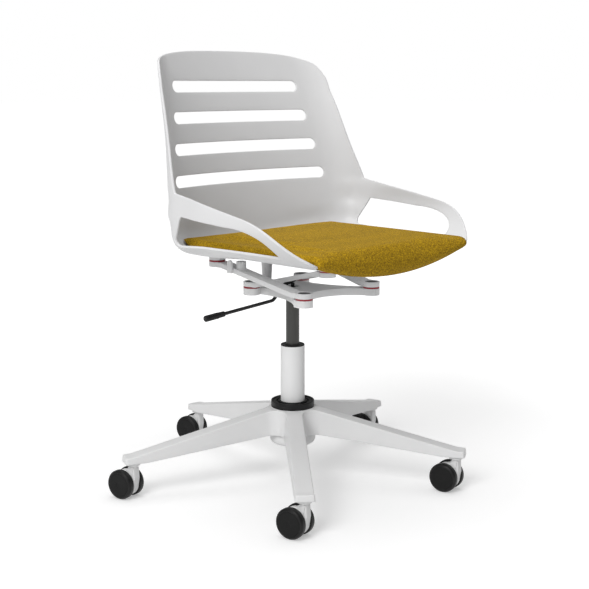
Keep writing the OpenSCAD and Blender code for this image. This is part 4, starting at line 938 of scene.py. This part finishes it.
def wheel_form():
    """Wheel of a twin caster: its axis is Z, its inner face at z = 0."""
    r, w = WHEEL_R, WHEEL_W
    tread = soften([(0, 0), (r - 3, 0), (r, 1.6), (r, w - 4.2), (r - 2.2, w - 1.1), (r - 4.2, w - 0.2),
                    (r - 5.2, w - 0.2), (r - 5.6, w - 0.7)], [0, 1, 2, 3.2, 2.4, 0.5, 0.3, 0], 5)
    disc = soften([(r - 5.6, w - 0.7), (r - 6.0, w - 0.2), (r - 8.0, w), (6.0, w), (5.6, w - 0.5),
                   (0, w - 0.5)], [0, 0.3, 0.6, 0.3, 0.3, 0], 4)
    a, b = lathe(tread, 72), lathe(disc, 72)
    return join(a, b), [0] * len(a[1]) + [1] * len(b[1])


def caster_matrix(k):
    """Place of caster k, its stem on the star's circle and its wheels trailing."""
    a = radians(STAR_TURN + 72 * (k - 1))
    at = Matrix.Translation((STAR_R * cos(a), STAR_R * sin(a), 0))
    return at @ Matrix.Rotation(radians(CASTER_TURN - 90), 4, "Z")


body_form = caster_body()
wheel_mesh, wheel_slots = wheel_form()
for k in CASTERS:
    place = caster_matrix(k)
    fork = new_piece("caster_body_%d" % k, *body_form, WHITE_BASE, "caster_%d" % k, place, sharp=34)
    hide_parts("caster_fork_%d" % k)
    for side, sign in (("a", -1), ("b", 1)):
        axle = (Matrix.Translation((sign * WHEEL_GAP / 2, CASTER_TRAIL, WHEEL_R))
                @ Matrix.Rotation(sign * pi / 2, 4, "Y"))
        wheel = new_piece("wheel_%d%s_form" % (k, side), *wheel_mesh, [WHEEL_TREAD, WHEEL_DISC],
                          "wheel_%d%s" % (k, side), place @ axle, wheel_slots, 38)
        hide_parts("caster_wheel_%d%s" % (k, side))


# ---------------------------------------------------------------- lever
bends = [(51, 14), (25, 8), (4, -4), (-4, -17), (-12, -23)]
path = [(x - LEVER_PIVOT_X, z + PLATE_TOP_Z) for x, z in bends]
end_x, end_z = path[-1]
grip_from, grip_to = ((x, end_z + LEVER_DROP * (x - end_x)) for x in (GRIP_LEN - LEVER_REACH, -LEVER_REACH))


def tube_along(points, radius, sides=20):
    """Round bar along points of the plane y = 0."""
    pts = np.array([(x, 0, z) for x, z in points])
    rings, around = [], np.arange(sides) * 2 * pi / sides
    for i, p in enumerate(pts):
        d = pts[min(i + 1, len(pts) - 1)] - pts[max(i - 1, 0)]
        d /= np.linalg.norm(d)
        side = np.cross(d, (0, 1, 0))
        rings.append([p + radius * (cos(a) * side + sin(a) * np.array([0, 1, 0])) for a in around])
    return loft(rings)


rod_path = soften(path + [lerp(np.array(grip_from), np.array(grip_to), 0.5)], 12.0, 7)
hub_at = Matrix.Translation((-LEVER_PIVOT_X, -5, PLATE_TOP_Z - 6)) @ Matrix.Rotation(-pi / 2, 4, "X")
hub_profile = soften([(2.05, 0), (5, 0), (5, 10), (2.05, 10), (2.05, 0)], [0, 0.8, 0.8, 0, 0], 3)
hub = moved(lathe(hub_profile, 40), hub_at)
pad = tube_along(soften([path[0] + np.array([0.5, 0.25]), path[1]], 0), LEVER_R + 1.5)
rod = new_piece("lever_bar", *join(tube_along(rod_path, LEVER_R), pad, hub), LEVER_BLACK, "lever")
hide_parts("lever_rod")

along = np.array(grip_to) - np.array(grip_from)
length = float(np.hypot(*along))
grip_turn = Matrix.Rotation(atan2(along[0], along[1]), 4, "Y")
grip_at = Matrix.Translation((grip_from[0], 0, grip_from[1])) @ grip_turn
grip_profile = soften(
    [(LEVER_R + 0.05, 0), (GRIP_R - 0.7, 0), (GRIP_R - 0.5, 14), (GRIP_R, 17), (GRIP_R, length), (0, length)],
    [0, 1.0, 6.0, 6.0, 1.8, 0], 5)
grip = new_piece("lever_handle", *lathe(grip_profile, 48), BLACK_PLASTIC, "lever", grip_at)
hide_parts("lever_grip")


# ---------------------------------------------------------------- carried-over nodes
def finish_node(name, material, edge=None):
    """Material for a CAD node that stays, its edges rounded by modifiers."""
    obj = NODES[name]
    obj.data.materials.clear()
    obj.data.materials.append(material)
    if edge:
        join_up = obj.modifiers.new("weld", "WELD")
        join_up.merge_threshold = 0.00001
        bevel = obj.modifiers.new("bevel", "BEVEL")
        bevel.width = edge * MM
        bevel.segments = 3
        bevel.limit_method = "ANGLE"
        bevel.angle_limit = radians(38)
        bevel.harden_normals = True


KEPT = (
    (WHITE_PAINT, 1.2, ["bracket"] + ["link_" + p for p in PLACES]),
    (RED_RING, 0.3, ["bracket_rings", "shell_rings"]),
    (DARK_CAP, 0.4, ["bracket_pins", "shell_pins"]),
    (DARK_STEEL, None, ["inner_tube"]),
    (BLACK_PLASTIC, None, ["column_guide_bush"] + ["bushes_" + p for p in PLACES]),
    (BLACK_RUBBER, None, ["buffer_ring", "stop_sleeve"]),
    (LEVER_BLACK, None, ["valve_pin", "lever_pin"]),
    (STEEL, None, ["thrust_bearing", "retaining_clip", "piston_rod", "tube_gland", "board_screws"]),
    (STEEL, None, ["caster_pins_%d" % k for k in CASTERS]),
    (BOARD, None, ["cushion_board"]),
)
for material, edge, names in KEPT:
    for name in names:
        finish_node(name, material, edge)


# ---------------------------------------------------------------- floor, light, camera
def floor_material():
    """Matt floor that keeps the shadow and glows towards the camera, more so further out."""
    mat, tree, shader = nodes_of("studio_floor")
    shader.inputs["Base Color"].default_value = (0.82, 0.82, 0.82, 1)
    shader.inputs["Roughness"].default_value = 0.9
    shader.inputs["Specular IOR Level"].default_value = 0.1
    rays = tree.nodes.new("ShaderNodeLightPath")
    seen = maths(tree, "MAXIMUM", rays.outputs["Is Camera Ray"], rays.outputs["Is Glossy Ray"])
    seen = maths(tree, "MAXIMUM", seen, rays.outputs["Is Transmission Ray"])
    glow = tree.nodes.new("ShaderNodeEmission")
    place = tree.nodes.new("ShaderNodeTexCoord")
    distance = tree.nodes.new("ShaderNodeVectorMath")
    distance.operation = "LENGTH"
    link(tree, place.outputs["Object"], distance.inputs[0])
    fade = tree.nodes.new("ShaderNodeMapRange")
    for name, value in FLOOR_FADE.items():
        fade.inputs[name].default_value = value
    link(tree, distance.outputs["Value"], fade.inputs["Value"])
    link(tree, fade.outputs["Result"], glow.inputs["Strength"])
    dark = tree.nodes.new("ShaderNodeEmission")
    dark.inputs["Strength"].default_value = 0.0
    total = tree.nodes.new("ShaderNodeAddShader")
    link(tree, shader.outputs[0], total.inputs[0])
    link(tree, chosen(tree, seen, dark.outputs[0], glow.outputs[0]), total.inputs[1])
    link(tree, total.outputs[0], tree.nodes["Material Output"].inputs["Surface"])
    return mat


half = FLOOR_HALF / MM
floor = new_piece("floor", [(-half, -half, 0), (half, -half, 0), (half, half, 0), (-half, half, 0)],
                  [(0, 1, 2, 3)], floor_material(), None)

world = bpy.data.worlds.new("studio")
bpy.context.scene.world = world
world.use_nodes = True
tree = world.node_tree
back = tree.nodes["Background"]
plain = tree.nodes.new("ShaderNodeBackground")
for node, strength in ((back, WORLD_STRENGTH), (plain, 1.0)):
    node.inputs["Color"].default_value = (1, 1, 1, 1)
    node.inputs["Strength"].default_value = strength
rays = tree.nodes.new("ShaderNodeLightPath")
sky = chosen(tree, rays.outputs["Is Camera Ray"], back.outputs[0], plain.outputs[0])
link(tree, sky, tree.nodes["World Output"].inputs["Surface"])


def area_light(name, place, target, size, power):
    """Rectangular lamp that faces the target; metres and watts."""
    data = bpy.data.lights.new(name, "AREA")
    data.shape = "RECTANGLE"
    data.size, data.size_y = size
    data.energy = power
    obj = bpy.data.objects.new(name, data)
    obj.location = place
    obj.rotation_euler = (Vector(target) - Vector(place)).to_track_quat("-Z", "Y").to_euler()
    bpy.context.scene.collection.objects.link(obj)


for name, (place, size, power) in LIGHTS.items():
    area_light(name, place, LIGHT_AIM, size, power)

camera = bpy.data.objects.new("camera", bpy.data.cameras.new("camera"))
camera.data.lens = CAMERA_LENS
camera.data.sensor_width = CAMERA_SENSOR
camera.data.clip_end = CAMERA_FAR
camera.location = CAMERA_AT
camera.rotation_euler = Vector(CAMERA_AXIS).to_track_quat("-Z", "Y").to_euler()
bpy.context.scene.collection.objects.link(camera)
bpy.context.scene.camera = camera
bpy.context.scene.view_settings.view_transform = "Standard"
